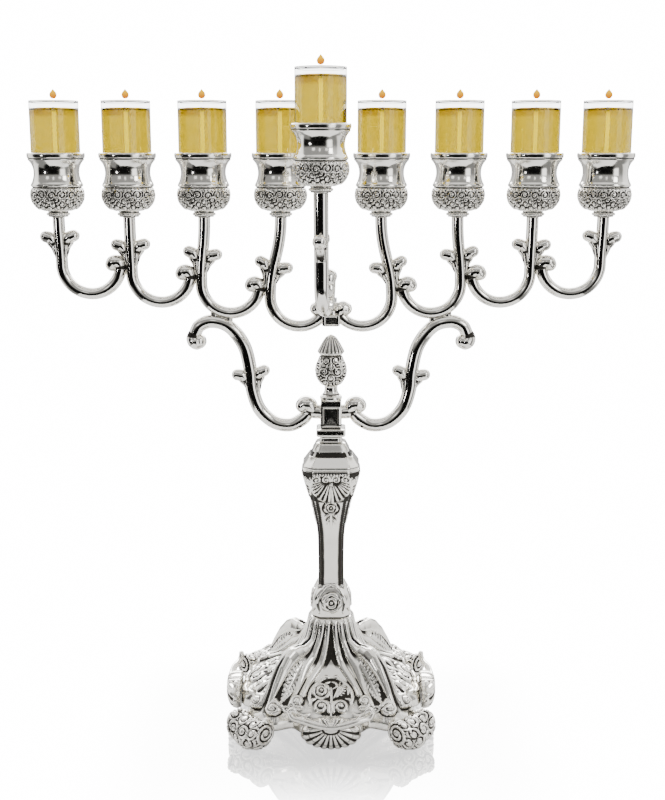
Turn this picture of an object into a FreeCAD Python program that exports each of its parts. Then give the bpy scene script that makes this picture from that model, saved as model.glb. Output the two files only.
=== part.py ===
import FreeCAD, Part
import Sketcher
import math
import os

# Eight-branched Hanukkah menorah with a forward servant light (the shamash).
# Silver-plated castings stand on one tie rod; every light is a glass oil cup that lifts out.
# Frame: origin on the stem's axis at the floor, +Z up, -Y the front, the branches along X.
# All lengths are millimetres and all angles degrees.

DIMENSIONS = {
    # Tie rod and its hardware
    "rod_radius": 2.5,
    "rod_bore_radius": 2.6,
    "rod_foot_level": 35.0,
    "rod_head_level": 208.6,
    "nut_level": 38.3,
    "nut_height": 4.0,
    "nut_across_flats": 8.0,
    "washer_level": 42.4,
    "washer_height": 1.6,
    "washer_radius": 6.0,
    # Base casting: four rolled corner feet and four shells round a hollow body
    "foot_radius": 10.0,
    "foot_length": 26.0,
    "foot_offset": 48.2,
    "foot_axis_level": 9.8,
    "foot_edge_round": 3.5,
    "shell_back": 48.0,
    "shell_depth": 17.2,
    "shell_radius": 17.6,
    "shell_front_radius": 14.4,
    "shell_axis_level": 26.0,
    "shell_crown_level": 24.0,
    # Arm block, a square box with sunk panels that takes the two lower arms
    "block_half": 6.2,
    "block_level": 185.4,
    "block_height": 16.8,
    "panel_margin": 1.6,
    "panel_depth": 0.7,
    "tenon_level": 195.0,
    "tenon_radius": 2.5,
    "tenon_length": 2.6,
    "lug_radius": 4.6,
    "lug_length": 6.6,
    # Tubes: an oval section, wider from front to back than across
    "tube_half_width": 3.5,
    "tube_half_depth": 4.1,
    "arm_half_width": 3.6,
    "arm_half_depth": 4.2,
    # Row of branches: the bows' centres step outwards along a flat arc
    "bow_first_reach": 18.7,
    "bow_first_level": 264.4,
    "bow_pitch": 41.3,
    "bow_first_rise": 11.0,
    "bow_rise_step": 2.0,
    "cope_overlap": 0.3,
    "collar_level": 311.4,
    "collar_height": 3.4,
    "collar_radius": 6.6,
    "collar_waist_radius": 5.6,
    "spigot_radius": 2.5,
    "spigot_bore_radius": 2.55,
    "spigot_length": 8.0,
    # Rolled leaf at each bow's inner end, and the pair of leaves on each stem
    "roll_distance": 11.9,
    "roll_radius": 3.5,
    "roll_reach": 1.7,
    "leaf_distance": 25.6,
    "leaf_offset": 6.6,
    "leaf_radius": 2.2,
    "leaf_reach": 2.0,
    "leaf_droop": 14.0,
    "sheath_foot_radius": 4.2,
    "sheath_top_radius": 5.1,
    "sheath_length": 15.0,
    "arm_leaf_reach": 4.4,
    # Hub at the middle of the row
    "hub_half_width": 5.2,
    "hub_half_depth": 5.6,
    "hub_level": 247.4,
    "hub_height": 7.0,
    "boss_radius": 4.4,
    "boss_height": 2.2,
    # Shamash arm, pinned to the hub by one vertical screw and standing a little to the left
    "shamash_reach": 48.3,
    "shamash_lift": 15.6,
    "shamash_turn": 6.4,
    "shamash_bow_reach": 29.0,
    "shamash_bow_level": 277.5,
    "shamash_leaf_distance": 32.0,
    "eye_radius": 4.1,
    "eye_level": 256.7,
    "eye_height": 5.0,
    "link_half_width": 3.2,
    "link_length": 21.0,
    "pivot_radius": 2.0,
    "pivot_bore_radius": 2.05,
    "pivot_depth": 7.0,
    "pivot_head_radius": 3.6,
    "pivot_head_height": 2.2,
    "pivot_gap": 0.1,
    # Cup: radius and height above its own foot at each station of the outside, rim to foot
    "cup_rim_radius": 16.4,
    "cup_rim_height": 33.2,
    "cup_lip_height": 30.4,
    "cup_flare_radius": 15.5,
    "cup_flare_height": 28.4,
    "cup_throat_radius": 13.5,
    "cup_throat_height": 25.6,
    "cup_neck_radius": 13.1,
    "cup_neck_height": 20.8,
    "cup_bead_radius": 14.9,
    "cup_bead_height": 15.4,
    "cup_groove_radius": 14.2,
    "cup_groove_height": 13.4,
    "cup_belly_radius": 14.9,
    "cup_belly_height": 8.8,
    "cup_turn_radius": 12.6,
    "cup_turn_height": 3.6,
    "cup_foot_radius": 7.4,
    "cup_socket_radius": 12.1,
    "cup_socket_floor": 9.0,
    "cup_socket_top": 24.6,
    "cup_mouth_radius": 15.1,
    # Glass, its oil and its wick; heights above the cup's foot
    "glass_upper_radius": 14.0,
    "glass_lower_radius": 11.6,
    "glass_wall": 1.4,
    "glass_foot": 9.4,
    "glass_floor": 3.0,
    "glass_shoulder_low": 25.2,
    "glass_shoulder_high": 30.5,
    "glass_top": 61.7,
    "oil_level": 57.0,
    "wick_radius": 1.0,
    "wick_top": 58.6,
}

# Octagonal castings: (level, half width across the flats, chamfer) from the bottom up
BASE_STATIONS = [
    (12.0, 53.0, 15.0), (20.0, 49.0, 14.0), (30.0, 36.0, 11.0), (38.0, 26.0, 8.5),
    (44.0, 20.7, 7.0), (53.0, 16.0, 5.5), (60.0, 13.6, 5.0), (66.5, 12.3, 4.5),
]
HOLLOW_STATIONS = [
    (11.9, 49.5, 14.0), (20.0, 45.0, 13.0), (30.0, 31.0, 9.5), (38.0, 20.5, 7.0), (44.0, 13.0, 4.5),
]
COLUMN_STATIONS = [
    (66.5, 11.6, 4.4), (71.0, 11.4, 4.6), (79.0, 11.0, 4.4), (86.4, 8.2, 3.2), (100.0, 7.9, 3.0),
    (120.0, 8.3, 3.2), (130.0, 9.8, 3.8), (142.0, 12.4, 4.8), (157.5, 16.8, 6.3), (162.0, 17.2, 6.4),
]
CAP_STATIONS = [
    (162.0, 17.0, 6.4), (164.8, 15.8, 5.8), (171.0, 11.9, 4.3), (174.8, 9.9, 3.6), (177.3, 6.9, 2.4),
    (181.0, 6.9, 2.0),
]
PLATE_STATIONS = [(181.0, 8.5, 0.6), (182.0, 8.8, 0.6), (185.4, 8.8, 0.6)]

# Finial: (radius, level) from the foot of its collar up to the tip
FINIAL_STATIONS = [
    (5.8, 202.2), (6.8, 203.2), (6.8, 204.6), (4.4, 207.4), (4.3, 210.8), (7.8, 215.0), (9.2, 220.6),
    (8.7, 224.6), (6.8, 228.0), (7.2, 230.6), (6.9, 233.6), (4.4, 238.2), (0.6, 242.0),
]

# Branches from the innermost out: reach of the cup's axis, angle of the rolled leaf below the
# bow's centre, and the angle at which the bow stops short of a half turn
BRANCHES = [
    {"cup_reach": 29.3, "roll_angle": 35.0, "bow_stop": 40.0},
    {"cup_reach": 74.0, "roll_angle": 22.0, "bow_stop": 10.0},
    {"cup_reach": 117.8, "roll_angle": 16.0, "bow_stop": 8.0},
    {"cup_reach": 159.1, "roll_angle": 11.0, "bow_stop": 6.0},
]
SIDES = {"right": 0.0, "left": 180.0}

# Lower arm's centreline in the row's plane, from its outer curl in to the arm block
LOWER_ARM_POINTS = [
    (81.5, 241.2), (78.2, 247.2), (70.8, 250.0), (60.6, 246.8), (52.0, 235.5), (48.4, 221.0),
    (47.2, 208.5), (43.0, 196.5), (34.5, 188.6), (25.0, 186.8), (17.5, 190.2), (12.6, 195.0),
]
# Balls in the curls' ends: (reach, level, radius); leaves on the arm: (reach, level, turn)
LOWER_ARM_BALLS = [(78.4, 238.4, 3.9), (17.4, 200.6, 4.2)]
LOWER_ARM_LEAVES = [(56.0, 219.8, -12.0), (40.4, 220.6, 14.0)]
# Lugs cast on the lower arm's crown that meet the underside of the second bow
LOWER_ARM_LUGS = [(69.2, 249.0, 8.0), (60.6, 246.0, 9.0)]
LUG_RADIUS = 2.4

document = FreeCAD.newDocument("Menorah")
sheet = document.addObject("Spreadsheet::Sheet", "Dimensions")
sub_parts = []


def fill_sheet():
    """Write every driving dimension as a plain number with its own alias."""
    for row, (alias, value) in enumerate(DIMENSIONS.items(), start=1):
        sheet.set(f"A{row}", alias.replace("_", " "))
        sheet.set(f"B{row}", str(value))
        sheet.setAlias(f"B{row}", alias)
    document.recompute()


def size(alias):
    return float(sheet.get(alias))


def cell(alias):
    return f"Dimensions.{alias}"


def keep(shape_object, label, position=(0, 0, 0), turn=0.0):
    """Name a finished sub-part, place it and put it on the list that is written out."""
    shape_object.Label = label
    rotation = FreeCAD.Rotation(FreeCAD.Vector(0, 0, 1), turn)
    shape_object.Placement = FreeCAD.Placement(FreeCAD.Vector(*position), rotation)
    sub_parts.append(shape_object)
    return shape_object


def bind(shape_object, **expressions):
    for name, expression in expressions.items():
        shape_object.setExpression(name, expression)


def place(shape_object, position, rotation=None):
    shape_object.Placement = FreeCAD.Placement(
        FreeCAD.Vector(*position), rotation or FreeCAD.Rotation()
    )
    return shape_object


def cylinder(name, radius, height, position=(0, 0, 0), rotation=None):
    """Cylinder whose radius and height follow expressions on the sheet."""
    solid = document.addObject("Part::Cylinder", name)
    bind(solid, Radius=radius, Height=height)
    return place(solid, position, rotation)


def box(name, length, width, height, position):
    solid = document.addObject("Part::Box", name)
    bind(solid, Length=length, Width=width, Height=height)
    return place(solid, position)


def cone(name, low_radius, high_radius, height, position, rotation=None):
    solid = document.addObject("Part::Cone", name)
    bind(solid, Radius1=low_radius, Radius2=high_radius, Height=height)
    return place(solid, position, rotation)


def capsule(name, radius, reach, position, rotation):
    """Round-ended bar, given by its radius and the reach of its end centres, along local X."""
    half = size(reach)
    ends = []
    for index, offset in enumerate((-half, half)):
        ball = document.addObject("Part::Sphere", f"{name}_end_{index}")
        bind(ball, Radius=cell(radius))
        ends.append(place(ball, position + rotation.multVec(FreeCAD.Vector(offset, 0, 0))))
    lie_down = rotation.multiply(FreeCAD.Rotation(FreeCAD.Vector(0, 1, 0), 90))
    bar = cylinder(f"{name}_bar", cell(radius), f"2 * {cell(reach)}", ends[0].Placement.Base,
                   lie_down)
    return fuse(name, ends + [bar])


def fuse(name, pieces):
    joined = document.addObject("Part::MultiFuse", name)
    joined.Shapes = pieces
    joined.Refine = False
    return joined


def cut(name, base, tool):
    result = document.addObject("Part::Cut", name)
    result.Base = base
    result.Tool = tool
    result.Refine = False
    return result


def frustum(name, low, high):
    """Chamfered square frustum between two stations: a square wedge met by a diagonal one."""
    upright = FreeCAD.Rotation(FreeCAD.Vector(1, 0, 0), 90)
    diagonal = FreeCAD.Rotation(FreeCAD.Vector(0, 0, 1), 45).multiply(upright)
    wedges = []
    for kind, rotation in (("square", upright), ("diamond", diagonal)):
        wedge = document.addObject("Part::Wedge", f"{name}_{kind}")
        reach = []
        for level, half, chamfer in (low, high):
            reach.append(half if kind == "square" else (2 * half - chamfer) / math.sqrt(2))
        wedge.Ymin, wedge.Ymax = low[0], high[0]
        wedge.Xmin, wedge.Xmax = -reach[0], reach[0]
        wedge.Zmin, wedge.Zmax = -reach[0], reach[0]
        wedge.X2min, wedge.X2max = -reach[1], reach[1]
        wedge.Z2min, wedge.Z2max = -reach[1], reach[1]
        wedges.append(place(wedge, (0, 0, 0), rotation))
    common = document.addObject("Part::Common", name)
    common.Base, common.Tool = wedges
    return common


def octagonal(name, stations):
    """Stack of frustums through the stations."""
    pieces = []
    for index in range(len(stations) - 1):
        pieces.append(frustum(f"{name}_{index}", stations[index], stations[index + 1]))
    return fuse(name, pieces)


def origin_plane(body, role):
    return next(item for item in body.Origin.OriginFeatures if item.Role == role)


def turned(name, corners):
    """PartDesign body turned about Z from a closed outline.

    Each corner is (radius, level); a number is a fixed size, text is a cell of the sheet, and a
    radius of 0 keeps the corner on the axis.
    """
    body = document.addObject("PartDesign::Body", name)
    sketch = body.newObject("Sketcher::SketchObject", f"{name}_outline")
    sketch.AttachmentSupport = [(origin_plane(body, "XZ_Plane"), "")]
    sketch.MapMode = "FlatFace"
    points = []
    for corner in corners:
        values = [size(item) if isinstance(item, str) else item for item in corner]
        points.append(FreeCAD.Vector(values[0], values[1], 0))
    lines = []
    for index, start in enumerate(points):
        end = points[(index + 1) % len(points)]
        lines.append(sketch.addGeometry(Part.LineSegment(start, end), False))
    for index, line in enumerate(lines):
        following = lines[(index + 1) % len(lines)]
        sketch.addConstraint(Sketcher.Constraint("Coincident", line, 2, following, 1))
    for line, corner, point in zip(lines, corners, points):
        for kind, item, value in zip(("DistanceX", "DistanceY"), corner, point[:2]):
            if value == 0:
                axis = -2 if kind == "DistanceX" else -1
                sketch.addConstraint(Sketcher.Constraint("PointOnObject", line, 1, axis))
                continue
            number = sketch.addConstraint(Sketcher.Constraint(kind, -1, 1, line, 1, value))
            if isinstance(item, str):
                sketch.setExpression(f"Constraints[{number}]", cell(item))
    revolution = body.newObject("PartDesign::Revolution", f"{name}_turned")
    revolution.Profile = sketch
    revolution.ReferenceAxis = (sketch, ["V_Axis"])
    revolution.Angle = 360
    body.Tip = revolution
    return body


# ---------------------------------------------------------------- stand: base to finial


def make_base():
    """Hollow casting on four rolled feet, with a shell in the middle of each side."""
    pieces = [octagonal("base_body", BASE_STATIONS)]
    offset = size("foot_offset")
    half_length = size("foot_length") / 2
    for index in range(4):
        angle = 45 + 90 * index
        side = FreeCAD.Rotation(FreeCAD.Vector(0, 0, 1), angle)
        lie_down = side.multiply(FreeCAD.Rotation(FreeCAD.Vector(1, 0, 0), 90))
        centre = side.multVec(FreeCAD.Vector(offset * math.sqrt(2), half_length, 0))
        roll = cylinder(f"foot_roll_{index}", cell("foot_radius"), cell("foot_length"),
                        (centre.x, centre.y, size("foot_axis_level")), lie_down)
        document.recompute()
        foot = document.addObject("Part::Fillet", f"foot_{index}")
        foot.Base = roll
        radius = size("foot_edge_round")
        foot.Edges = [(number, radius, radius) for number in (1, 3)]
        pieces.append(foot)
    for index in range(4):
        side = FreeCAD.Rotation(FreeCAD.Vector(0, 0, 1), 90 * index)
        outward = side.multiply(FreeCAD.Rotation(FreeCAD.Vector(0, 1, 0), 90))
        root = side.multVec(FreeCAD.Vector(size("shell_back"), 0, size("shell_axis_level")))
        dish = document.addObject("Part::Cone", f"shell_dish_{index}")
        bind(dish, Radius1=cell("shell_radius"), Radius2=cell("shell_front_radius"),
             Height=cell("shell_depth"))
        place(dish, root, outward)
        lower = box(f"shell_lower_{index}", "160", "160", cell("shell_crown_level"), (-80, -80, 0))
        shell = document.addObject("Part::Common", f"shell_{index}")
        shell.Base, shell.Tool = dish, lower
        pieces.append(shell)
    hollow = octagonal("base_hollow", HOLLOW_STATIONS)
    below = place(document.addObject("Part::Box", "floor_trim"), (-100, -100, -10))
    below.Length, below.Width, below.Height = 200, 200, 10
    bore = cylinder("base_bore", cell("rod_bore_radius"), "60", (0, 0, 20))
    cast = cut("base_rough", fuse("base_solid", pieces), fuse("base_removed", [hollow, below, bore]))
    keep(cast, "base_casting")


def make_hardware():
    """Threaded tie rod with its washer and nut under the base's ceiling."""
    rod = cylinder("rod", cell("rod_radius"), f"{cell('rod_head_level')} - {cell('rod_foot_level')}")
    keep(rod, "tie_rod", (0, 0, size("rod_foot_level")))
    washer_disc = cylinder("washer_disc", cell("washer_radius"), cell("washer_height"))
    washer_hole = cylinder("washer_hole", cell("rod_bore_radius"), cell("washer_height"))
    keep(cut("washer", washer_disc, washer_hole), "base_washer", (0, 0, size("washer_level")))
    hexagon = document.addObject("Part::Prism", "nut_hexagon")
    hexagon.Polygon = 6
    bind(hexagon, Circumradius=f"{cell('nut_across_flats')} / sqrt(3)", Height=cell("nut_height"))
    nut_hole = cylinder("nut_hole", cell("rod_bore_radius"), cell("nut_height"))
    keep(cut("nut", hexagon, nut_hole), "base_nut", (0, 0, size("nut_level")))


def make_column():
    """Tapered baluster with its rose knot below, and the stepped cap that the block stands on."""
    bore = cylinder("column_bore", cell("rod_bore_radius"), "200", (0, 0, 30))
    keep(cut("column", octagonal("column_solid", COLUMN_STATIONS), bore), "column_casting")
    cap_bore = cylinder("cap_bore", cell("rod_bore_radius"), "100", (0, 0, 120))
    pieces = [octagonal("cap_pyramid", CAP_STATIONS), octagonal("cap_plate", PLATE_STATIONS)]
    keep(cut("cap", fuse("cap_solid", pieces), cap_bore), "column_cap")


def make_block():
    """Square block with a sunk panel front and back, the rod's bore and the arms' tenon holes."""
    side = f"2 * {cell('block_half')}"
    half = size("block_half")
    solid = box("block_solid", side, side, cell("block_height"), (-half, -half, 0))
    margin = size("panel_margin")
    panels = []
    for name, y in (("front", -half), ("back", half - size("panel_depth"))):
        panels.append(box(f"panel_{name}", f"{side} - 2 * {cell('panel_margin')}", cell("panel_depth"),
                          f"{cell('block_height')} - 2 * {cell('panel_margin')}",
                          (-half + margin, y, margin)))
    along_x = FreeCAD.Rotation(FreeCAD.Vector(0, 1, 0), 90)
    bore = cylinder("block_bore", cell("rod_bore_radius"), "40", (0, 0, -10))
    height = size("tenon_level") - size("block_level")
    tenons = []
    for name, x in (("left", -half), ("right", half - size("tenon_length"))):
        tenons.append(cylinder(f"tenon_hole_{name}", cell("tenon_radius"), cell("tenon_length"),
                               (x, 0, height), along_x))
    keep(cut("block", solid, fuse("block_removed", panels + [bore] + tenons)), "arm_block",
         (0, 0, size("block_level")))


def make_finial():
    """Bud finial screwed on the rod's head; its foot clamps the whole stem."""
    bore = size("rod_bore_radius")
    foot = FINIAL_STATIONS[0][1]
    bore_top = size("rod_head_level") + 0.6
    corners = [(bore, foot)] + FINIAL_STATIONS
    corners += [(0, FINIAL_STATIONS[-1][1] + 0.3), (0, bore_top), ("rod_bore_radius", bore_top)]
    keep(turned("finial", corners), "finial")


# ---------------------------------------------------------------- swept arms


def upright(reach, level, depth=0.0):
    """A point given by its reach and level, in the plane that later turns about Z."""
    return FreeCAD.Vector(reach, depth, level)


def sweep(name, edges, half_width, half_depth):
    """Oval tube along a path whose first edge leaves straight down or along the given edge."""
    spine = document.addObject("Part::Feature", f"{name}_spine")
    spine.Shape = Part.Wire(edges)
    oval = document.addObject("Part::Ellipse", f"{name}_oval")
    bind(oval, MajorRadius=half_depth, MinorRadius=half_width)
    first = edges[0]
    start = first.valueAt(first.FirstParameter)
    direction = first.tangentAt(first.FirstParameter)
    lean = math.degrees(math.atan2(direction.x, direction.z))
    across = FreeCAD.Rotation(FreeCAD.Vector(0, 1, 0), lean)
    rotation = across.multiply(FreeCAD.Rotation(FreeCAD.Vector(0, 0, 1), 90))
    place(oval, start, rotation)
    tube = document.addObject("Part::Sweep", f"{name}_tube")
    tube.Sections = [oval]
    tube.Spine = (spine, [f"Edge{index + 1}" for index in range(len(edges))])
    tube.Solid = True
    tube.Frenet = False
    return tube


def bow_centre(index):
    """Centre of a bow of the row: each lies one pitch further out on a flattening rise."""
    reach, level = size("bow_first_reach"), size("bow_first_level")
    for step in range(index):
        rise = math.radians(size("bow_first_rise") - size("bow_rise_step") * step)
        reach += size("bow_pitch") * math.cos(rise)
        level += size("bow_pitch") * math.sin(rise)
    return reach, level


def bow_radius():
    return size("bow_pitch") / 2 - size("tube_half_width") + size("cope_overlap") / 2


def stem_curve(cup_reach, top, bow_reach, bow_level):
    """Gentle S from straight under the cup to the bow's outermost point."""
    end_reach = bow_reach + bow_radius()
    drop = top - bow_level
    curve = Part.BezierCurve()
    curve.setPoles([
        upright(cup_reach, top), upright(cup_reach, top - 0.45 * drop),
        upright(end_reach, bow_level + 0.42 * drop), upright(end_reach, bow_level),
    ])
    return curve


def branch_pieces(name, cup_reach, top, bow_reach, bow_level, bow_stop, roll_angle, leaf_distance):
    """Stem, bow, rolled leaf, spigot and the pair of leaves, in the plane of the branch."""
    radius = bow_radius()
    stem = stem_curve(cup_reach, top, bow_reach, bow_level)

    def on_bow(angle, distance=radius):
        turn = math.radians(angle)
        return upright(bow_reach + distance * math.cos(turn), bow_level + distance * math.sin(turn))

    stop = bow_stop - 180
    bow = Part.Arc(on_bow(0), on_bow(stop / 2), on_bow(stop))
    pieces = [sweep(name, [stem.toShape(), bow.toShape()], cell("tube_half_width"),
                    cell("tube_half_depth"))]
    pieces.append(cylinder(f"{name}_spigot", cell("spigot_radius"), f"{cell('spigot_length')} + 1",
                           (cup_reach, 0, top - 1)))
    about_y = FreeCAD.Vector(0, 1, 0)
    centre = on_bow(180 + roll_angle, size("roll_distance"))
    pieces.append(capsule(f"{name}_roll", "roll_radius", "roll_reach", centre,
                          FreeCAD.Rotation(about_y, -roll_angle)))
    # The leaves stand where the stem is a set distance from the bow's centre
    middle = upright(bow_reach, bow_level)
    samples = [index / 100 for index in range(101)]
    at_leaf = min(samples, key=lambda t: abs(stem.value(t).distanceToPoint(middle) - leaf_distance))
    point = stem.value(at_leaf)
    along = stem.tangent(at_leaf)[0]
    lean = math.degrees(math.atan2(-along.x, -along.z))
    for side in (-1, 1):
        outward = FreeCAD.Rotation(about_y, lean).multVec(FreeCAD.Vector(side, 0, 0))
        spot = point + outward * size("leaf_offset")
        pieces.append(capsule(f"{name}_leaf_{side + 1}", "leaf_radius", "leaf_reach", spot,
                              FreeCAD.Rotation(about_y, lean + side * size("leaf_droop"))))
    below = point + along * size("sheath_length")
    pieces.append(cone(f"{name}_sheath", cell("sheath_foot_radius"), cell("sheath_top_radius"),
                       cell("sheath_length"), below, FreeCAD.Rotation(about_y, lean)))
    return pieces


def make_branches():
    """Four branches a side; each bow's inner end is coped to its inner neighbour's bow."""
    collar_top = size("collar_level")
    for side, turn in SIDES.items():
        inner = None
        for index, branch in enumerate(BRANCHES):
            name = f"branch_{side}_{index + 1}"
            reach, level = bow_centre(index)
            pieces = branch_pieces(name, branch["cup_reach"], collar_top, reach, level,
                                   branch["bow_stop"], branch["roll_angle"], size("leaf_distance"))
            solid = fuse(f"{name}_solid", pieces)
            if inner:
                solid = cut(f"{name}_coped", solid, inner)
            inner = fuse(f"{name}_copy", pieces)
            keep(solid, name, turn=turn)


def make_lower_arms():
    """S-scrolled arms from the block up to the second bows; the points are in the row's plane."""
    for side, turn in SIDES.items():
        name = f"lower_arm_{side}"
        curve = Part.BSplineCurve()
        curve.interpolate([upright(*point) for point in LOWER_ARM_POINTS])
        pieces = [sweep(name, [curve.toShape()], cell("arm_half_width"), cell("arm_half_depth"))]
        for index, (reach, level, radius) in enumerate(LOWER_ARM_BALLS):
            ball = document.addObject("Part::Sphere", f"{name}_ball_{index}")
            ball.Radius = radius
            pieces.append(place(ball, (reach, 0, level)))
        for index, (reach, level, lean) in enumerate(LOWER_ARM_LEAVES):
            pieces.append(capsule(f"{name}_leaf_{index}", "leaf_radius", "arm_leaf_reach",
                                  upright(reach, level),
                                  FreeCAD.Rotation(FreeCAD.Vector(0, 1, 0), lean)))
        for index, (reach, level, height) in enumerate(LOWER_ARM_LUGS):
            pieces.append(cylinder(f"{name}_lug_{index}", str(LUG_RADIUS), str(height),
                                   (reach, 0, level)))
        along_x = FreeCAD.Rotation(FreeCAD.Vector(0, 1, 0), 90)
        face = size("block_half")
        level = size("tenon_level")
        pieces.append(cylinder(f"{name}_boss", cell("lug_radius"), cell("lug_length"),
                               (face, 0, level), along_x))
        pieces.append(cylinder(f"{name}_tenon", cell("tenon_radius"), f"{cell('tenon_length')} + 2",
                               (face - size("tenon_length"), 0, level), along_x))
        second_bow = fuse(f"{name}_seat", [document.getObject(f"branch_{side}_2_tube"),
                                           document.getObject(f"branch_{side}_2_roll")])
        keep(cut(f"{name}_solid", fuse(f"{name}_rough", pieces), second_bow), name, turn=turn)


def make_hub():
    """Block that joins the two innermost bows and carries the shamash arm's pivot."""
    half_width, half_depth = size("hub_half_width"), size("hub_half_depth")
    level = size("hub_level")
    solid = box("hub_solid", f"2 * {cell('hub_half_width')}", f"2 * {cell('hub_half_depth')}",
                cell("hub_height"), (-half_width, -half_depth, level))
    boss = cylinder("hub_boss", cell("boss_radius"), cell("boss_height"),
                    (0, 0, level + size("hub_height")))
    thread = cylinder("hub_thread", cell("pivot_radius"), "20",
                      (0, 0, size("eye_level") - size("pivot_depth")))
    removed = [thread]
    for side, turn in SIDES.items():
        copy = fuse(f"hub_seat_{side}", [document.getObject(f"branch_{side}_1_tube"),
                                         document.getObject(f"branch_{side}_1_roll")])
        copy.Placement = FreeCAD.Placement(FreeCAD.Vector(),
                                           FreeCAD.Rotation(FreeCAD.Vector(0, 0, 1), turn))
        removed.append(copy)
    keep(cut("hub", fuse("hub_rough", [solid, boss]), fuse("hub_removed", removed)), "top_hub")


def make_shamash_arm():
    """Forward arm: the same scroll as a branch, with an eye that turns on the hub's screw."""
    top = size("collar_level") + size("shamash_lift")
    reach, level = size("shamash_bow_reach"), size("shamash_bow_level")
    pieces = branch_pieces("shamash_arm", size("shamash_reach"), top, reach, level, 8.0, 14.0,
                           size("shamash_leaf_distance"))
    eye_level = size("eye_level")
    pieces.append(cylinder("shamash_eye", cell("eye_radius"), cell("eye_height"), (0, 0, eye_level)))
    half = size("link_half_width")
    pieces.append(box("shamash_link", cell("link_length"), f"2 * {cell('link_half_width')}",
                      cell("eye_height"), (0, -half, eye_level)))
    bore = cylinder("shamash_bore", cell("pivot_bore_radius"), "20", (0, 0, eye_level - 5))
    head_room = cylinder("shamash_head_room", f"{cell('pivot_head_radius')} + 0.4", "12",
                         (0, 0, eye_level + size("eye_height")))
    solid = cut("shamash_arm_solid", fuse("shamash_arm_rough", pieces),
                fuse("shamash_arm_removed", [bore, head_room]))
    keep(solid, "shamash_arm", turn=shamash_heading())

    shank = cylinder("pivot_shank", cell("pivot_radius"),
                     f"{cell('pivot_depth')} + {cell('eye_height')} + {cell('pivot_gap')}",
                     (0, 0, -size("pivot_depth")))
    head = cylinder("pivot_head", cell("pivot_head_radius"), cell("pivot_head_height"),
                    (0, 0, size("eye_height") + size("pivot_gap")))
    keep(fuse("pivot", [shank, head]), "shamash_pivot_screw", (0, 0, eye_level))


# ---------------------------------------------------------------- lights


def shamash_heading():
    """Turn about Z that carries a branch's plane from +X to the shamash arm's own direction."""
    return -90 - size("shamash_turn")


def lights():
    """Name, position of the cup's foot and body turn of each of the nine lights."""
    foot = size("collar_level") + size("collar_height")
    found = []
    for side, turn in SIDES.items():
        sign = math.cos(math.radians(turn))
        for index, branch in enumerate(BRANCHES):
            found.append((f"{side}_{index + 1}", (sign * branch["cup_reach"], 0, foot)))
    heading = math.radians(shamash_heading())
    reach = size("shamash_reach")
    found.append(("shamash", (reach * math.cos(heading), reach * math.sin(heading),
                              foot + size("shamash_lift"))))
    return found


def make_collar(name):
    """Waisted ring between a stem and its cup, bored for the stem's spigot."""
    height = size("collar_height")
    return turned(name, [
        ("spigot_bore_radius", 0), ("collar_waist_radius", 0), ("collar_radius", 0.9),
        ("collar_radius", 2.5), ("collar_waist_radius", "collar_height"),
        ("spigot_bore_radius", height),
    ])


def make_cup(name, position):
    """Bell-shaped cup with a socket for the glass and a bored foot."""
    corners = [
        ("spigot_bore_radius", 0), ("cup_foot_radius", 0), ("cup_turn_radius", "cup_turn_height"),
        ("cup_belly_radius", "cup_belly_height"), ("cup_groove_radius", "cup_groove_height"),
        ("cup_bead_radius", "cup_bead_height"), ("cup_neck_radius", "cup_neck_height"),
        ("cup_throat_radius", "cup_throat_height"), ("cup_flare_radius", "cup_flare_height"),
        ("cup_rim_radius", "cup_lip_height"), ("cup_rim_radius", "cup_rim_height"),
        ("cup_mouth_radius", "cup_rim_height"), ("cup_socket_radius", "cup_socket_top"),
        ("cup_socket_radius", "cup_socket_floor"), ("spigot_bore_radius", "cup_socket_floor"),
    ]
    keep(turned(f"cup_{name}", corners), f"cup_{name}", position)


def make_glass(name, position):
    """Stepped glass with its conical shoulder over the cup's flare, its oil and its wick."""
    wall = size("glass_wall")
    upper_inner = size("glass_upper_radius") - wall
    lower_inner = size("glass_lower_radius") - wall
    floor = size("glass_foot") + size("glass_floor")
    low, high = size("glass_shoulder_low") + 0.6, size("glass_shoulder_high") + 0.6
    keep(turned(f"glass_{name}", [
        (0, "glass_foot"), ("glass_lower_radius", "glass_foot"),
        ("glass_lower_radius", "glass_shoulder_low"), ("glass_upper_radius", "glass_shoulder_high"),
        ("glass_upper_radius", "glass_top"), (upper_inner, "glass_top"), (upper_inner, high),
        (lower_inner, low), (lower_inner, floor), (0, floor),
    ]), f"glass_{name}", position)
    keep(turned(f"oil_{name}", [
        ("wick_radius", floor), (lower_inner, floor), (lower_inner, low), (upper_inner, high),
        (upper_inner, "oil_level"), ("wick_radius", "oil_level"),
    ]), f"oil_{name}", position)
    wick = cylinder(f"wick_{name}_cord", cell("wick_radius"), f"{cell('wick_top')} - {floor}")
    x, y, foot = position
    keep(wick, f"wick_{name}", (x, y, foot + floor))


def make_lights():
    """Cups, glasses, oil, wicks and the collars under the cups."""
    collars = []
    drop = size("collar_height")
    for name, position in lights():
        make_cup(name, position)
        make_glass(name, position)
        collar = make_collar(f"collar_{name}")
        x, y, foot = position
        if name == "shamash":
            keep(collar, "shamash_collar", (x, y, foot - drop))
        else:
            place(collar, (x, y, foot - drop))
            collars.append(collar)
    group = document.addObject("Part::Compound", "collar_group")
    group.Links = collars
    keep(group, "cup_collars")


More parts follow.
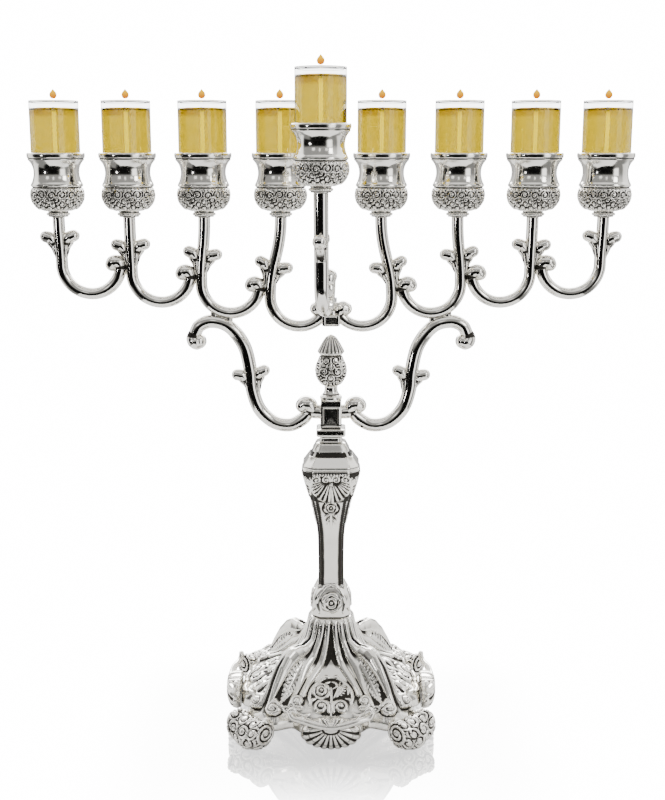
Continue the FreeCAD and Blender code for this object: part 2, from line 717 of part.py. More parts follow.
def check_and_write():
    """Stop on any failed object or faulty solid, then write one STEP file for each sub-part."""
    document.recompute()
    failed = [item.Name for item in document.Objects
              if "Invalid" in item.State or "Error" in item.State]
    if failed:
        raise RuntimeError(f"failed objects: {failed}")
    os.makedirs("parts", exist_ok=True)
    for item in sub_parts:
        shape = item.Shape
        if shape.isNull() or not shape.isValid() or not shape.Solids:
            raise RuntimeError(f"bad shape: {item.Label}")
        print(f"{item.Label}: {len(shape.Solids)} solid(s), {shape.Volume:.0f} mm3")
    for item in sub_parts:
        item.Shape.exportStep(f"parts/{item.Label}.step")
    print(f"{len(sub_parts)} sub-parts")


fill_sheet()
make_base()
make_hardware()
make_column()
make_block()
make_finial()
make_branches()
make_lower_arms()
make_hub()
make_shamash_arm()
make_lights()
check_and_write()
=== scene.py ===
import math

import bpy
import numpy as np
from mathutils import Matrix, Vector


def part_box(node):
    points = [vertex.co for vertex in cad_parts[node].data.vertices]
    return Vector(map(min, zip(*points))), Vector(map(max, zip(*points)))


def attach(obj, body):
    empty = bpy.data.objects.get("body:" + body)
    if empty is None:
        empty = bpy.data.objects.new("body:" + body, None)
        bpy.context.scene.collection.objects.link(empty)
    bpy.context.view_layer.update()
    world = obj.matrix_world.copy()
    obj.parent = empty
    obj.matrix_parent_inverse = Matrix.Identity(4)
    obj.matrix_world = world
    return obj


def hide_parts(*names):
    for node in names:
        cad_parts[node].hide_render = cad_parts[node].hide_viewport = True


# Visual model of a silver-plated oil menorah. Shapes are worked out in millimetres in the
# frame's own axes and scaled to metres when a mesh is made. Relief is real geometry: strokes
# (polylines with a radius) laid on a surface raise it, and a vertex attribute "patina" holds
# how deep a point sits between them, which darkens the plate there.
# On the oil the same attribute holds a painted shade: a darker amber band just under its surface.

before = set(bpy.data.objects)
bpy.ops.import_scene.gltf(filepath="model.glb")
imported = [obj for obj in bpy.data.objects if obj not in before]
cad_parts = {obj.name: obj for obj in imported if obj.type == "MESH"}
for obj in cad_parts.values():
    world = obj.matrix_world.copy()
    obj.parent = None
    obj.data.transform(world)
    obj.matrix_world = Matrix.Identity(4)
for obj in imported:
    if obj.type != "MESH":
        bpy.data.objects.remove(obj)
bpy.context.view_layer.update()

MM = 0.001
SIDES = {"right": 1, "left": -1}
ROW = (1, 2, 3, 4)


# ---------------------------------------------------------------- reading the frame


def node_box(node):
    """Lowest and highest corners of a CAD node at rest, in millimetres."""
    low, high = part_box(node)
    return np.array(low) / MM, np.array(high) / MM


def node_axis(node):
    low, high = node_box(node)
    return (low + high) / 2


# ---------------------------------------------------------------- mesh making


def make_object(name, points, faces, patina_and_shade):
    """Smooth-shaded object from points in millimetres and a list of index arrays."""
    mesh = bpy.data.meshes.new(name)
    mesh.vertices.add(len(points))
    mesh.vertices.foreach_set("co", (points * MM).ravel())
    loops = np.concatenate([block.ravel() for block in faces])
    sizes = np.concatenate([np.full(len(block), block.shape[1]) for block in faces])
    mesh.loops.add(len(loops))
    mesh.loops.foreach_set("vertex_index", loops.astype(np.int32))
    mesh.polygons.add(len(sizes))
    starts = np.concatenate([[0], np.cumsum(sizes)[:-1]])
    mesh.polygons.foreach_set("loop_start", starts.astype(np.int32))
    mesh.update(calc_edges=True)
    mesh.validate()
    mesh.polygons.foreach_set("use_smooth", np.ones(len(sizes), dtype=bool))
    attribute = mesh.attributes.new("patina_and_shade", "FLOAT", "POINT")
    attribute.data.foreach_set("value", patina_and_shade.astype(np.float32))
    piece = bpy.data.objects.new(name, mesh)
    bpy.context.scene.collection.objects.link(piece)
    return piece


def skin(grid, patina_and_shade=None):
    """Closed skin over a grid of points (rows, columns, 3), with a pole at both ends."""
    rows, columns = grid.shape[:2]
    index = np.arange(rows * columns).reshape(rows, columns)
    following = np.roll(index, -1, axis=1)
    quads = np.stack([index[:-1], following[:-1], following[1:], index[1:]], axis=-1).reshape(-1, 4)
    first, last = rows * columns, rows * columns + 1
    ring, back = index[0], index[-1]
    tops = np.stack([np.roll(ring, -1), ring, np.full(columns, first)], axis=-1)
    ends = np.stack([back, np.roll(back, -1), np.full(columns, last)], axis=-1)
    points = np.concatenate([grid.reshape(-1, 3), grid[0].mean(0)[None], grid[-1].mean(0)[None]])
    faces = [quads, np.concatenate([tops, ends])]
    if signed_volume(points, faces) < 0:
        faces = [block[:, ::-1] for block in faces]
    values = np.zeros((rows, columns)) if patina_and_shade is None else patina_and_shade
    values = np.concatenate([values.ravel(), [values[0].mean(), values[-1].mean()]])
    return points, faces, values


def signed_volume(points, faces):
    total = 0.0
    for block in faces:
        for corner in range(1, block.shape[1] - 1):
            a, b, c = points[block[:, 0]], points[block[:, corner]], points[block[:, corner + 1]]
            total += np.einsum("ij,ij->i", a, np.cross(b, c)).sum()
    return total


def join(parts):
    """One (points, faces, patina) from several closed skins."""
    points, quads, triangles, values = [], [], [], []
    offset = 0
    for part_points, part_faces, part_values in parts:
        points.append(part_points)
        values.append(part_values)
        for block in part_faces:
            (quads if block.shape[1] == 4 else triangles).append(block + offset)
        offset += len(part_points)
    faces = [np.concatenate(group) for group in (quads, triangles) if group]
    return np.concatenate(points), faces, np.concatenate(values)


def turn_z(points, degrees):
    angle = math.radians(degrees)
    c, s = math.cos(angle), math.sin(angle)
    return points @ np.array([[c, s, 0], [-s, c, 0], [0, 0, 1]])


def moved(part, offset=(0, 0, 0), degrees=0.0):
    points, faces, values = part
    return turn_z(points, degrees) + np.array(offset, dtype=float), faces, values


def finish_piece(name, part, material, body, replaced=()):
    points, faces, values = part
    piece = make_object(name, points, faces, values)
    piece.data.materials.append(material)
    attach(piece, body)
    if replaced:
        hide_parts(*replaced)
    return piece


# ---------------------------------------------------------------- curves and profiles


def smooth_curve(controls, step):
    """Catmull-Rom curve through control rows, resampled at an even step along its length."""
    controls = np.asarray(controls, dtype=float)
    padded = np.vstack([2 * controls[0] - controls[1], controls, 2 * controls[-1] - controls[-2]])
    t = np.linspace(0, 1, 25)[:-1, None]
    pieces = []
    for a, b, c, d in zip(padded[:-3], padded[1:-2], padded[2:-1], padded[3:]):
        pieces.append(0.5 * (2 * b + (c - a) * t + (2 * a - 5 * b + 4 * c - d) * t ** 2
                             + (3 * b - a - 3 * c + d) * t ** 3))
    dense = np.vstack(pieces + [controls[-1:]])
    return resample(dense, step)


def resample(points, step):
    """Even steps along a polyline; the spacing looks at the first two or three columns only."""
    width = min(points.shape[1], 3)
    lengths = np.linalg.norm(np.diff(points[:, :width], axis=0), axis=1)
    along = np.concatenate([[0], np.cumsum(lengths)])
    count = max(int(round(along[-1] / step)), 2) + 1
    targets = np.linspace(0, along[-1], count)
    return np.stack([np.interp(targets, along, column) for column in points.T], axis=1)


def smooth_step(low, high, values):
    t = np.clip((values - low) / (high - low), 0, 1)
    return t * t * (3 - 2 * t)


def blur(field, times, wrap=True):
    """Repeated three-point mean along both directions of a grid."""
    for _ in range(times):
        before = np.vstack([field[:1], field[:-1]])
        after = np.vstack([field[1:], field[-1:]])
        field = (before + field + after) / 3
        if wrap:
            field = (np.roll(field, 1, 1) + field + np.roll(field, -1, 1)) / 3
        else:
            left = np.hstack([field[:, :1], field[:, :-1]])
            right = np.hstack([field[:, 1:], field[:, -1:]])
            field = (left + field + right) / 3
    return field


def cavity(height, depth, reach=6, wrap=True):
    """0 on the crests to 1 in the recesses of a height field."""
    wide = blur(height, reach * 3, wrap)
    near = blur(height, reach, wrap)
    deep = np.maximum(wide - height, near - height)
    return np.clip(deep / depth, 0, 1)


def ink(height, ground, crest):
    """1 on the bare ground of a relief to 0 on its crests."""
    return 1 - smooth_step(ground, crest, height)


def surface_normals(grid):
    across = (np.roll(grid, -1, 1) - np.roll(grid, 1, 1)) / 2
    normal = np.cross(across, np.gradient(grid, axis=0))
    length = np.linalg.norm(normal, axis=2, keepdims=True)
    return normal / np.maximum(length, 1e-9)


# ---------------------------------------------------------------- relief strokes


def raise_strokes(across, down, strokes):
    """Height of rounded strokes over a surface with coordinates (across, down)."""
    shape = across.shape
    across, down = across.ravel(), down.ravel()
    height = np.zeros(len(across))
    for points, radii in strokes:
        for (a, b, ra, rb) in zip(points[:-1], points[1:], radii[:-1], radii[1:]):
            reach = max(ra, rb)
            near = ((across > min(a[0], b[0]) - reach) & (across < max(a[0], b[0]) + reach)
                    & (down > min(a[1], b[1]) - reach) & (down < max(a[1], b[1]) + reach))
            found = np.flatnonzero(near)
            if not len(found):
                continue
            dx, dy = b[0] - a[0], b[1] - a[1]
            px, py = across[found] - a[0], down[found] - a[1]
            t = np.clip((px * dx + py * dy) / (dx * dx + dy * dy + 1e-12), 0, 1)
            radius = ra + (rb - ra) * t
            square = (px - t * dx) ** 2 + (py - t * dy) ** 2
            height[found] = np.maximum(height[found], np.sqrt(np.maximum(radius ** 2 - square, 0)))
    return height.reshape(shape)


def stroke(points, start, middle, end):
    """Polyline whose radius runs from start through middle to end."""
    points = np.asarray(points, dtype=float)
    t = np.linspace(0, 1, len(points))
    swell = 4 * t * (1 - t)
    return points, (start * (1 - t) + end * t) * (1 - swell) + middle * swell


def curved(controls, start, middle, end):
    return stroke(smooth_curve(controls, 0.9), start, middle, end)


def dot(x, y, radius):
    return np.array([[x, y], [x + 0.01, y]]), np.array([radius, radius])


def spiral(x, y, radius, turns, start, width, way=1):
    """Volute that winds in from its rim to an eye."""
    count = int(turns * 16)
    t = np.linspace(0, 1, count + 1)
    angle = math.radians(start) + way * 2 * math.pi * turns * t
    reach = radius * (1 - 0.82 * t)
    points = np.stack([x + reach * np.cos(angle), y + reach * np.sin(angle)], axis=1)
    return [(points, width * (1 - 0.35 * t)), dot(x, y, width * 0.95)]


def fan(x, y, inner, outer, low, high, count, width):
    """Ribs that spread from a hinge, thin at the root and round at the rim."""
    strokes = []
    for angle in np.radians(np.linspace(low, high, count)):
        c, s = math.cos(angle), math.sin(angle)
        points = [(x + inner * c, y + inner * s), (x + outer * c, y + outer * s)]
        middle = [(x + (inner + outer) / 2 * c, y + (inner + outer) / 2 * s)]
        strokes.append((np.array([points[0], middle[0], points[1]]),
                        np.array([0.3 * width, 0.75 * width, width])))
    return strokes


def rose(x, y, radius, turn=0.0):
    """Bud in two rings of overlapping petals."""
    strokes = [dot(x, y, radius * 0.2)]
    for ring, petals, width in ((0.46, 3, 0.2), (0.86, 5, 0.2)):
        for petal in range(petals):
            start = turn + 360 / petals * (petal + ring)
            angles = np.radians(np.linspace(start, start + 400 / petals, 9))
            reach = radius * ring * (1 + 0.1 * np.sin(np.linspace(0, math.pi, 9)))
            points = np.stack([x + reach * np.cos(angles), y + reach * np.sin(angles)], axis=1)
            strokes.append(stroke(points, 0.3 * width * radius, width * radius, 0.3 * width * radius))
    return strokes


def feather(controls, barb, spacing, width, lean=42.0):
    """Acanthus blade: a midrib with barbs slanting forward from both sides."""
    spine = smooth_curve(controls, spacing)
    strokes = [stroke(spine, width, width * 1.1, width * 0.6)]
    heading = np.gradient(spine, axis=0)
    heading /= np.linalg.norm(heading, axis=1, keepdims=True)
    count = len(spine)
    for number in range(1, count - 1):
        t = number / (count - 1)
        reach = barb * (math.sin(math.pi * min(t * 0.9 + 0.12, 1)) * 0.65 + 0.35 * (1 - t))
        for side in (-1, 1):
            angle = math.radians(lean) * side
            c, s = math.cos(angle), math.sin(angle)
            dx, dy = heading[number]
            direction = np.array([dx * c - dy * s, dx * s + dy * c])
            root = spine[number]
            tip = root + direction * reach
            bend = root + direction * reach * 0.5 + np.array([-dy, dx]) * side * reach * 0.1
            strokes.append((np.array([root, bend, tip]), np.array([0.5, 1.0, 0.45]) * width))
    return strokes


def scrollwork(across, down, centres, pitch):
    """Cells of coiled ridges, each wound round its own centre; 0 in the furrows to 1 on top."""
    nearest = np.full(across.shape, 1e9)
    height = np.zeros(across.shape)
    for number, (x, y) in enumerate(centres):
        dx, dy = across - x, down - y
        distance = np.hypot(dx, dy)
        way = 1 if number % 2 else -1
        coil = distance / pitch - way * np.arctan2(dy, dx) / (2 * math.pi) + 0.37 * number
        ridge = 0.5 + 0.5 * np.cos(2 * math.pi * coil)
        ridge = np.maximum(ridge, smooth_step(0.75 * pitch, 0.35 * pitch, distance))
        closer = distance < nearest
        height = np.where(closer, ridge, height)
        nearest = np.where(closer, distance, nearest)
    return height


def mirrored(strokes):
    """The strokes and their mirror images across the middle line."""
    return strokes + [(points * np.array([-1, 1]), radii) for points, radii in strokes]


def pairs(spirals, curves):
    """Mirrored pairs of volutes and of curved strokes, from rows of what each is made with."""
    strokes = []
    for row in spirals:
        strokes += spiral(*row)
    return mirrored(strokes + [curved(*row) for row in curves])


# ---------------------------------------------------------------- materials


class Graph:
    """One node tree. Each method adds a node and returns its output."""

    def __init__(self, tree):
        self.tree = tree

    def feed(self, node, sockets):
        """Link or set a node's inputs, by name or number; a tuple is a colour."""
        for key, value in sockets.items():
            if isinstance(value, bpy.types.NodeSocket):
                self.tree.links.new(value, node.inputs[key])
            else:
                node.inputs[key].default_value = (*value, 1) if isinstance(value, tuple) else value
        return node.outputs

    def add(self, kind, sockets, output=0, **settings):
        node = self.tree.nodes.new(f"ShaderNode{kind}")
        for key, value in settings.items():
            setattr(node, key, value)
        return self.feed(node, sockets)[output]

    def texture(self, kind, **sockets):
        """Texture laid on in the object's own coordinates."""
        place = self.add("TexCoord", {}, "Object")
        return self.add(f"Tex{kind}", {"Vector": place, **sockets}, "Fac")

    def patina_and_shade(self):
        return self.add("Attribute", {}, "Fac", attribute_name="patina_and_shade")

    def mix(self, factor, a, b):
        return self.add("Mix", {"Factor": factor, "A": a, "B": b}, "Result", data_type="RGBA")

    def ramp(self, value, low, high, to_low=0.0, to_high=1.0, kind="SMOOTHSTEP"):
        sockets = {"Value": value, "From Min": low, "From Max": high, "To Min": to_low, "To Max": to_high}
        return self.add("MapRange", sockets, interpolation_type=kind)

    def between(self, value, to_low, to_high):
        return self.ramp(value, 0.0, 1.0, to_low, to_high, "LINEAR")

    def maths(self, operation, *values):
        return self.add("Math", dict(enumerate(values)), operation=operation)

    def split(self, vector):
        return self.feed(self.tree.nodes.new("ShaderNodeSeparateXYZ"), {"Vector": vector})


def new_material(name):
    material = bpy.data.materials.new(name)
    material.use_nodes = True
    return material, Graph(material.node_tree), material.node_tree.nodes["Principled BSDF"]


PLATE = (0.90, 0.875, 0.81)
BLACKENED = (0.035, 0.032, 0.028)


def silver(name, polish, strength):
    """Silver plate, polished on the crests and blackened where the patina attribute is high."""
    material, graph, shader = new_material(name)
    cloud = graph.texture("Noise", Scale=160.0, Detail=4.0, Roughness=0.6)
    # The patina's edge wanders a little, so recesses aren't blackened evenly
    spread = graph.maths("MULTIPLY_ADD", cloud, 0.35, graph.patina_and_shade())
    amount = graph.ramp(spread, 0.34, 0.34 + 0.55 / strength)
    smear = graph.maths("MULTIPLY_ADD", cloud, 0.05, graph.between(amount, polish, 0.5))
    grain = graph.texture("Noise", Scale=900.0, Detail=2.0)
    bump = graph.add("Bump", {"Strength": 0.04, "Distance": 0.0002, "Height": grain})
    graph.feed(shader, {"Metallic": 1.0, "Base Color": graph.mix(amount, PLATE, BLACKENED),
                        "Roughness": smear, "Normal": bump})
    return material


def steel():
    """Zinc-plated steel with fine turning marks."""
    material, graph, shader = new_material("zinc_steel")
    marks = graph.texture("Noise", Scale=400.0, Detail=3.0)
    graph.feed(shader, {"Metallic": 1.0, "Roughness": graph.between(marks, 0.25, 0.45),
                        "Base Color": graph.mix(marks, (0.5, 0.51, 0.53), (0.62, 0.62, 0.6))})
    return material


def clear_glass():
    material, graph, shader = new_material("oil_glass")
    film = graph.texture("Noise", Scale=60.0, Detail=3.0)
    graph.feed(shader, {"Base Color": (0.985, 0.99, 0.985), "Transmission Weight": 1.0, "IOR": 1.28,
                        "Roughness": graph.between(film, 0.0, 0.03)})
    return material


def lamp_oil():
    """Clear yellow oil; the vertex attribute marks a painted shade, a darker amber band just under its
    surface.
    """
    material, graph, shader = new_material("lamp_oil")
    cloud = graph.texture("Noise", Scale=35.0, Detail=2.0)
    yellow = graph.mix(cloud, (0.158, 0.110, 0.0), (0.150, 0.101, 0.0))
    graph.feed(shader, {"Transmission Weight": 1.0, "Roughness": 0.02, "IOR": 1.2,
                        "Base Color": graph.mix(graph.patina_and_shade(), yellow, (0.075, 0.036, 0.0))})
    return material


def cotton():
    """Braided cotton, charred black at its tip through the patina attribute."""
    material, graph, shader = new_material("cotton_wick")
    weave = graph.texture("Wave", Scale=600.0, Distortion=1.5)
    thread = graph.mix(weave, (0.80, 0.70, 0.48), (0.95, 0.90, 0.72))
    char = graph.mix(graph.patina_and_shade(), thread, (0.003, 0.0025, 0.002))
    # The emission stands in for the light that the oil gathers onto the cord
    graph.feed(shader, {"Roughness": 0.9, "Base Color": char, "Emission Color": char,
                        "Emission Strength": 3.6})
    return material


def fire():
    """Small flame: orange at the root, paler and brighter towards the tip."""
    material, graph, shader = new_material("flame")
    glow = graph.mix(graph.patina_and_shade(), (1.1, 0.30, 0.0), (1.7, 0.95, 0.01))
    graph.feed(shader, {"Base Color": (0, 0, 0), "Specular IOR Level": 0.0, "Roughness": 1.0,
                        "Emission Color": glow, "Emission Strength": 1.0})
    return material


silver_tubes = silver("silver_tubes", 0.07, 1.0)
silver_cups = silver("silver_cups", 0.10, 1.3)
silver_stem = silver("silver_stem", 0.12, 1.3)
silver_base = silver("silver_base", 0.16, 1.3)
zinc_steel = steel()
oil_glass = clear_glass()
oil_liquid = lamp_oil()
wick_cotton = cotton()
flame_light = fire()


# ---------------------------------------------------------------- turned pieces


def turned(radii, turn, levels):
    """Points at radii, angles about Z and levels."""
    return np.stack([radii * np.cos(turn), radii * np.sin(turn), levels], axis=-1)


def widened(values, columns):
    """A row of values repeated over a number of columns."""
    return np.repeat(values[:, None], columns, axis=1)


def lathe(outline, step, columns, relief=None):
    """Turned skin from (radius, level) controls; relief(angle, level, radius) adds height."""
    profile = smooth_curve(outline, step)
    radius, level = profile[:, 0], profile[:, 1]
    angle = np.linspace(0, 2 * math.pi, columns, endpoint=False)
    turn, radii = np.meshgrid(angle, radius)
    levels = widened(level, columns)
    grid = turned(radii, turn, levels)
    patina_and_shade = None
    if relief:
        height, patina_and_shade = relief(turn, levels, radii)
        slope = np.gradient(profile, axis=0)
        slope /= np.linalg.norm(slope, axis=1, keepdims=True)
        out, up = slope[:, 1][:, None], -slope[:, 0][:, None]
        grid[..., 0] += height * out * np.cos(turn)
        grid[..., 1] += height * out * np.sin(turn)
        grid[..., 2] += height * up
    return skin(grid, patina_and_shade)


CUP_OUTSIDE = [
    (2.6, 0.0), (7.0, 0.0), (9.0, 0.5), (11.2, 1.7), (13.2, 3.8), (14.5, 6.2), (15.0, 8.8),
    (14.8, 11.2), (14.2, 13.2), (14.0, 13.7), (14.5, 14.0), (14.9, 14.8), (14.6, 15.8), (14.0, 17.0),
    (13.3, 19.4), (13.0, 21.6), (13.2, 24.2), (14.0, 26.6), (15.2, 28.4), (15.9, 29.2), (16.0, 29.8),
    (15.9, 30.1), (16.3, 30.5), (16.5, 31.4), (16.5, 32.5), (16.2, 33.1), (15.8, 33.2), (15.4, 32.9),
]
CUP_INSIDE = [(14.9, 31.8), (13.6, 28.4), (12.3, 25.0), (12.2, 23.0), (12.2, 10.0), (12.0, 9.2), (2.6, 9.1)]
BAND_LOW, BAND_HIGH = 0.9, 13.2


def cup_relief(turn, levels, radii):
    """Filigree band round the belly: an arcade on top of staggered rows of coils."""
    repeats = 8
    mean_radius = 14.4
    period = 2 * math.pi * mean_radius / repeats
    across = (turn * mean_radius) % period
    outside = np.zeros(levels.shape, dtype=bool)
    outside[:int(levels.shape[0] * 0.6)] = True
    centres = []
    for shift in (-period, 0, period):
        centres += [(shift + 2.4, 9.2), (shift + 8.0, 9.6), (shift + 5.2, 7.0), (shift + 0.2, 6.2)]
        centres += [(shift + 3.0, 4.2), (shift + 8.6, 4.6), (shift + 5.8, 2.6), (shift + 0.6, 1.9)]
    height = 0.85 * scrollwork(across, levels, centres, 1.4)
    # Arcade of small tongues under the groove
    tongues = np.abs(np.sin(turn * 20))
    arcade = smooth_step(13.2, 13.0, levels) * smooth_step(11.2, 11.6, levels)
    height = np.maximum(height, 0.62 * arcade * np.sqrt(tongues))
    window = smooth_step(BAND_LOW, BAND_LOW + 0.5, levels) * smooth_step(BAND_HIGH, BAND_HIGH - 0.2, levels)
    height = height * window * outside
    patina_and_shade = ink(height, 0.20, 0.60) * window * outside
    groove = np.exp(-((levels - 13.6) / 0.35) ** 2) + np.exp(-((levels - 30.0) / 0.28) ** 2)
    patina_and_shade = np.maximum(patina_and_shade, groove * outside)
    return height - 0.25 * window * outside, patina_and_shade


def make_cup():
    return lathe(CUP_OUTSIDE + CUP_INSIDE, 0.32, 288, cup_relief)


COLLAR_HEIGHT = 3.4


def make_collar():
    outline = [(2.6, 0.0), (5.2, 0.0), (5.7, 0.3), (5.6, 0.7), (6.4, 1.0), (6.7, 1.7), (6.4, 2.3),
               (5.7, 2.6), (5.9, 3.0), (5.6, COLLAR_HEIGHT), (2.6, COLLAR_HEIGHT)]

    def relief(turn, levels, radii):
        knurl = 0.12 * np.cos(turn * 36) * np.exp(-((levels - 1.7) / 0.6) ** 2) * (radii > 5)
        dark = np.exp(-((levels - 0.7) / 0.25) ** 2) + np.exp(-((levels - 2.6) / 0.25) ** 2)
        return knurl, np.clip(dark, 0, 1) * (radii > 4.5)

    return lathe(outline, 0.2, 144, relief)


GLASS_OUTSIDE = [
    (0.0, 9.5), (10.4, 9.45), (11.3, 9.8), (11.6, 10.6), (11.6, 24.6), (11.9, 25.6), (13.6, 29.6),
    (14.0, 30.9), (14.0, 32.5), (14.0, 60.2), (13.95, 61.2), (13.6, 61.7), (13.1, 61.6), (12.75, 61.0),
]
GLASS_INSIDE = [
    (12.6, 60.0), (12.6, 32.0), (12.5, 31.2), (12.1, 30.2), (10.6, 27.0), (10.2, 25.9), (10.2, 24.0),
    (10.2, 14.4), (9.6, 13.0), (8.2, 12.5), (0.0, 12.4),
]
OIL_OUTLINE = [
    (0.0, 12.35), (8.2, 12.45), (9.7, 12.9), (10.25, 14.4), (10.25, 25.8), (10.65, 27.0),
    (12.15, 30.2), (12.55, 31.2), (12.65, 32.0), (12.65, 56.4), (12.62, 57.1), (12.3, 56.95),
    (11.2, 56.9), (0.0, 56.9),
]


def make_wick():
    """Braided cord from the glass's floor to just over the oil, charred at the tip."""
    low, high = 12.6, 59.0
    levels = np.linspace(low, high, 150)
    angle = np.linspace(0, 2 * math.pi, 24, endpoint=False)
    turn, level = np.meshgrid(angle, levels)
    braid = 0.07 * np.cos(turn * 3 + level * 2.4) + 0.07 * np.cos(turn * 3 - level * 2.4)
    ends = np.sqrt(np.clip((high - level) / 1.0, 0.02, 1))
    radius = (0.92 + braid) * ends
    bend = 0.5 * smooth_step(high - 3, high, level)
    grid = np.stack([radius * np.cos(turn) + bend, radius * np.sin(turn), level], axis=-1)
    return skin(grid, smooth_step(high - 3.2, high - 1.6, level))


def make_flame():
    """Teardrop that stands over the wick's tip."""
    outline = [(0.02, 63.6), (1.0, 63.8), (1.8, 64.6), (2.1, 65.7), (1.8, 66.9), (1.1, 67.8),
               (0.5, 68.5), (0.02, 69.1)]

    def relief(turn, levels, radii):
        return 0.0 * levels, smooth_step(64.0, 68.2, levels)

    return lathe(outline, 0.25, 48, relief)


# ---------------------------------------------------------------- swept pieces


def sweep(path, half_width, half_depth, columns=36, patina_and_shade=0.0):
    """Oval tube along a path in the XZ plane, closed by round ends."""
    path = np.asarray(path, dtype=float)
    count = len(path)
    tangent = np.gradient(path, axis=0)
    tangent /= np.linalg.norm(tangent, axis=1, keepdims=True)
    width_axis = np.cross(tangent, np.tile([0.0, 1.0, 0.0], (count, 1)))
    width, depth, dark = (np.broadcast_to(np.asarray(item, dtype=float), (count,))
                          for item in (half_width, half_depth, patina_and_shade))
    rows = [(path, width_axis, width, depth, dark)]
    quarter = np.radians(np.linspace(12, 84, 7))
    for at, way in ((0, -1), (count - 1, 1)):
        reach = min(width[at], depth[at])
        centres = path[at] + way * tangent[at] * reach * np.sin(quarter)[:, None]
        block = (centres, np.tile(width_axis[at], (7, 1)), width[at] * np.cos(quarter),
                 depth[at] * np.cos(quarter), np.full(7, dark[at]))
        if way < 0:
            rows.insert(0, tuple(item[::-1] for item in block))
        else:
            rows.append(block)
    centres, sides, width, depth, dark = (np.concatenate(items) for items in zip(*rows))
    angle = np.linspace(0, 2 * math.pi, columns, endpoint=False)
    across = np.cos(angle)[None, :, None] * (sides * width[:, None])[:, None, :]
    front = np.sin(angle)[None, :, None] * np.array([0, 1.0, 0]) * depth[:, None, None]
    grid = centres[:, None, :] + across + front
    return skin(grid, widened(dark, columns))


def in_plane(points):
    """(reach, level) rows as points in the XZ plane."""
    points = np.asarray(points, dtype=float)
    return np.stack([points[:, 0], np.zeros(len(points)), points[:, 1]], axis=1)


TUBE_WIDTH, TUBE_DEPTH = 3.5, 4.1
BOW_PITCH = 41.3
BOW_RADIUS = BOW_PITCH / 2 - TUBE_WIDTH + 0.15
FIRST_BOW = np.array([18.7, 264.4])
FIRST_RISE, RISE_STEP = 11.0, 2.0
LEAF_DISTANCE = 25.6
PATH_STEP = 0.6
BOW_STOPS = {1: 40.0, 2: 10.0, 3: 8.0, 4: 6.0}


def bow_centre(number):
    centre = FIRST_BOW.copy()
    for step in range(number - 1):
        rise = math.radians(FIRST_RISE - RISE_STEP * step)
        centre += BOW_PITCH * np.array([math.cos(rise), math.sin(rise)])
    return centre


def bezier(poles, count):
    t = np.linspace(0, 1, count)[:, None]
    a, b, c, d = (np.asarray(pole, dtype=float) for pole in poles)
    return a * (1 - t) ** 3 + 3 * b * t * (1 - t) ** 2 + 3 * c * t ** 2 * (1 - t) + d * t ** 3


def curl(point, heading, radius_start, radius_end, length):
    """Path that keeps turning clockwise from a point, tighter as it goes."""
    step = 0.4
    points = [np.array(point, dtype=float)]
    count = int(length / step)
    for number in range(count):
        radius = radius_start + (radius_end - radius_start) * number / count
        heading -= step / radius
        points.append(points[-1] + step * np.array([math.cos(heading), math.sin(heading)]))
    return np.array(points)


def stem_leaf(origin, outward, along):
    """One leaf and its thorn: it climbs the stem, swells and rolls over outwards."""
    def spot(reach, drop):
        return origin + outward * reach + along * drop

    blade = [spot(*item) for item in ((1.6, 19.0), (2.3, 14.0), (2.9, 9.0), (3.7, 5.6), (4.9, 3.4),
                                      (6.5, 2.4), (8.1, 1.9))]
    path = smooth_curve(blade, 0.4)
    t = np.linspace(0, 1, len(path))
    knots = [0, 0.25, 0.5, 0.68, 0.76, 0.88, 1]
    width = np.interp(t, knots, [0.6, 1.3, 1.9, 2.1, 2.9, 3.8, 3.5])
    depth = np.interp(t, knots, [1.4, 2.8, 3.5, 3.1, 3.7, 4.2, 3.8])
    dark = 0.95 * np.exp(-((t - 0.66) / 0.05) ** 2)
    parts = [sweep(in_plane(path), width, depth, 30, patina_and_shade=dark)]
    thorn = smooth_curve([spot(3.2, 12.0), spot(4.4, 8.6), spot(6.2, 6.0)], 0.4)
    t = np.linspace(0, 1, len(thorn))
    parts.append(sweep(in_plane(thorn), 1.2 + 0.3 * t, 2.2 + 0.2 * t, 24, patina_and_shade=0.8 * (1 - t)))
    return parts


def leaf_pair(origin, along):
    """Two leaves on either side of a stem that runs along a direction."""
    along = along / np.linalg.norm(along)
    parts = []
    for side in (1, -1):
        parts += stem_leaf(origin, side * np.array([-along[1], along[0]]), along)
    return parts


def rolled_tip(end, heading, bend, length, size):
    """Leaf tip that rolls over clockwise into a solid lobe."""
    path = curl(end, heading, bend, bend * 0.7, length)
    t = np.linspace(0, 1, len(path))
    width = size * np.interp(t, [0, 0.2, 0.55, 0.85, 1], [0.84, 0.92, 1.04, 1.06, 0.96])
    crease = 0.95 * smooth_step(0.24, 0.02, t)
    return sweep(in_plane(path), width, width * 1.16, 36, patina_and_shade=crease)


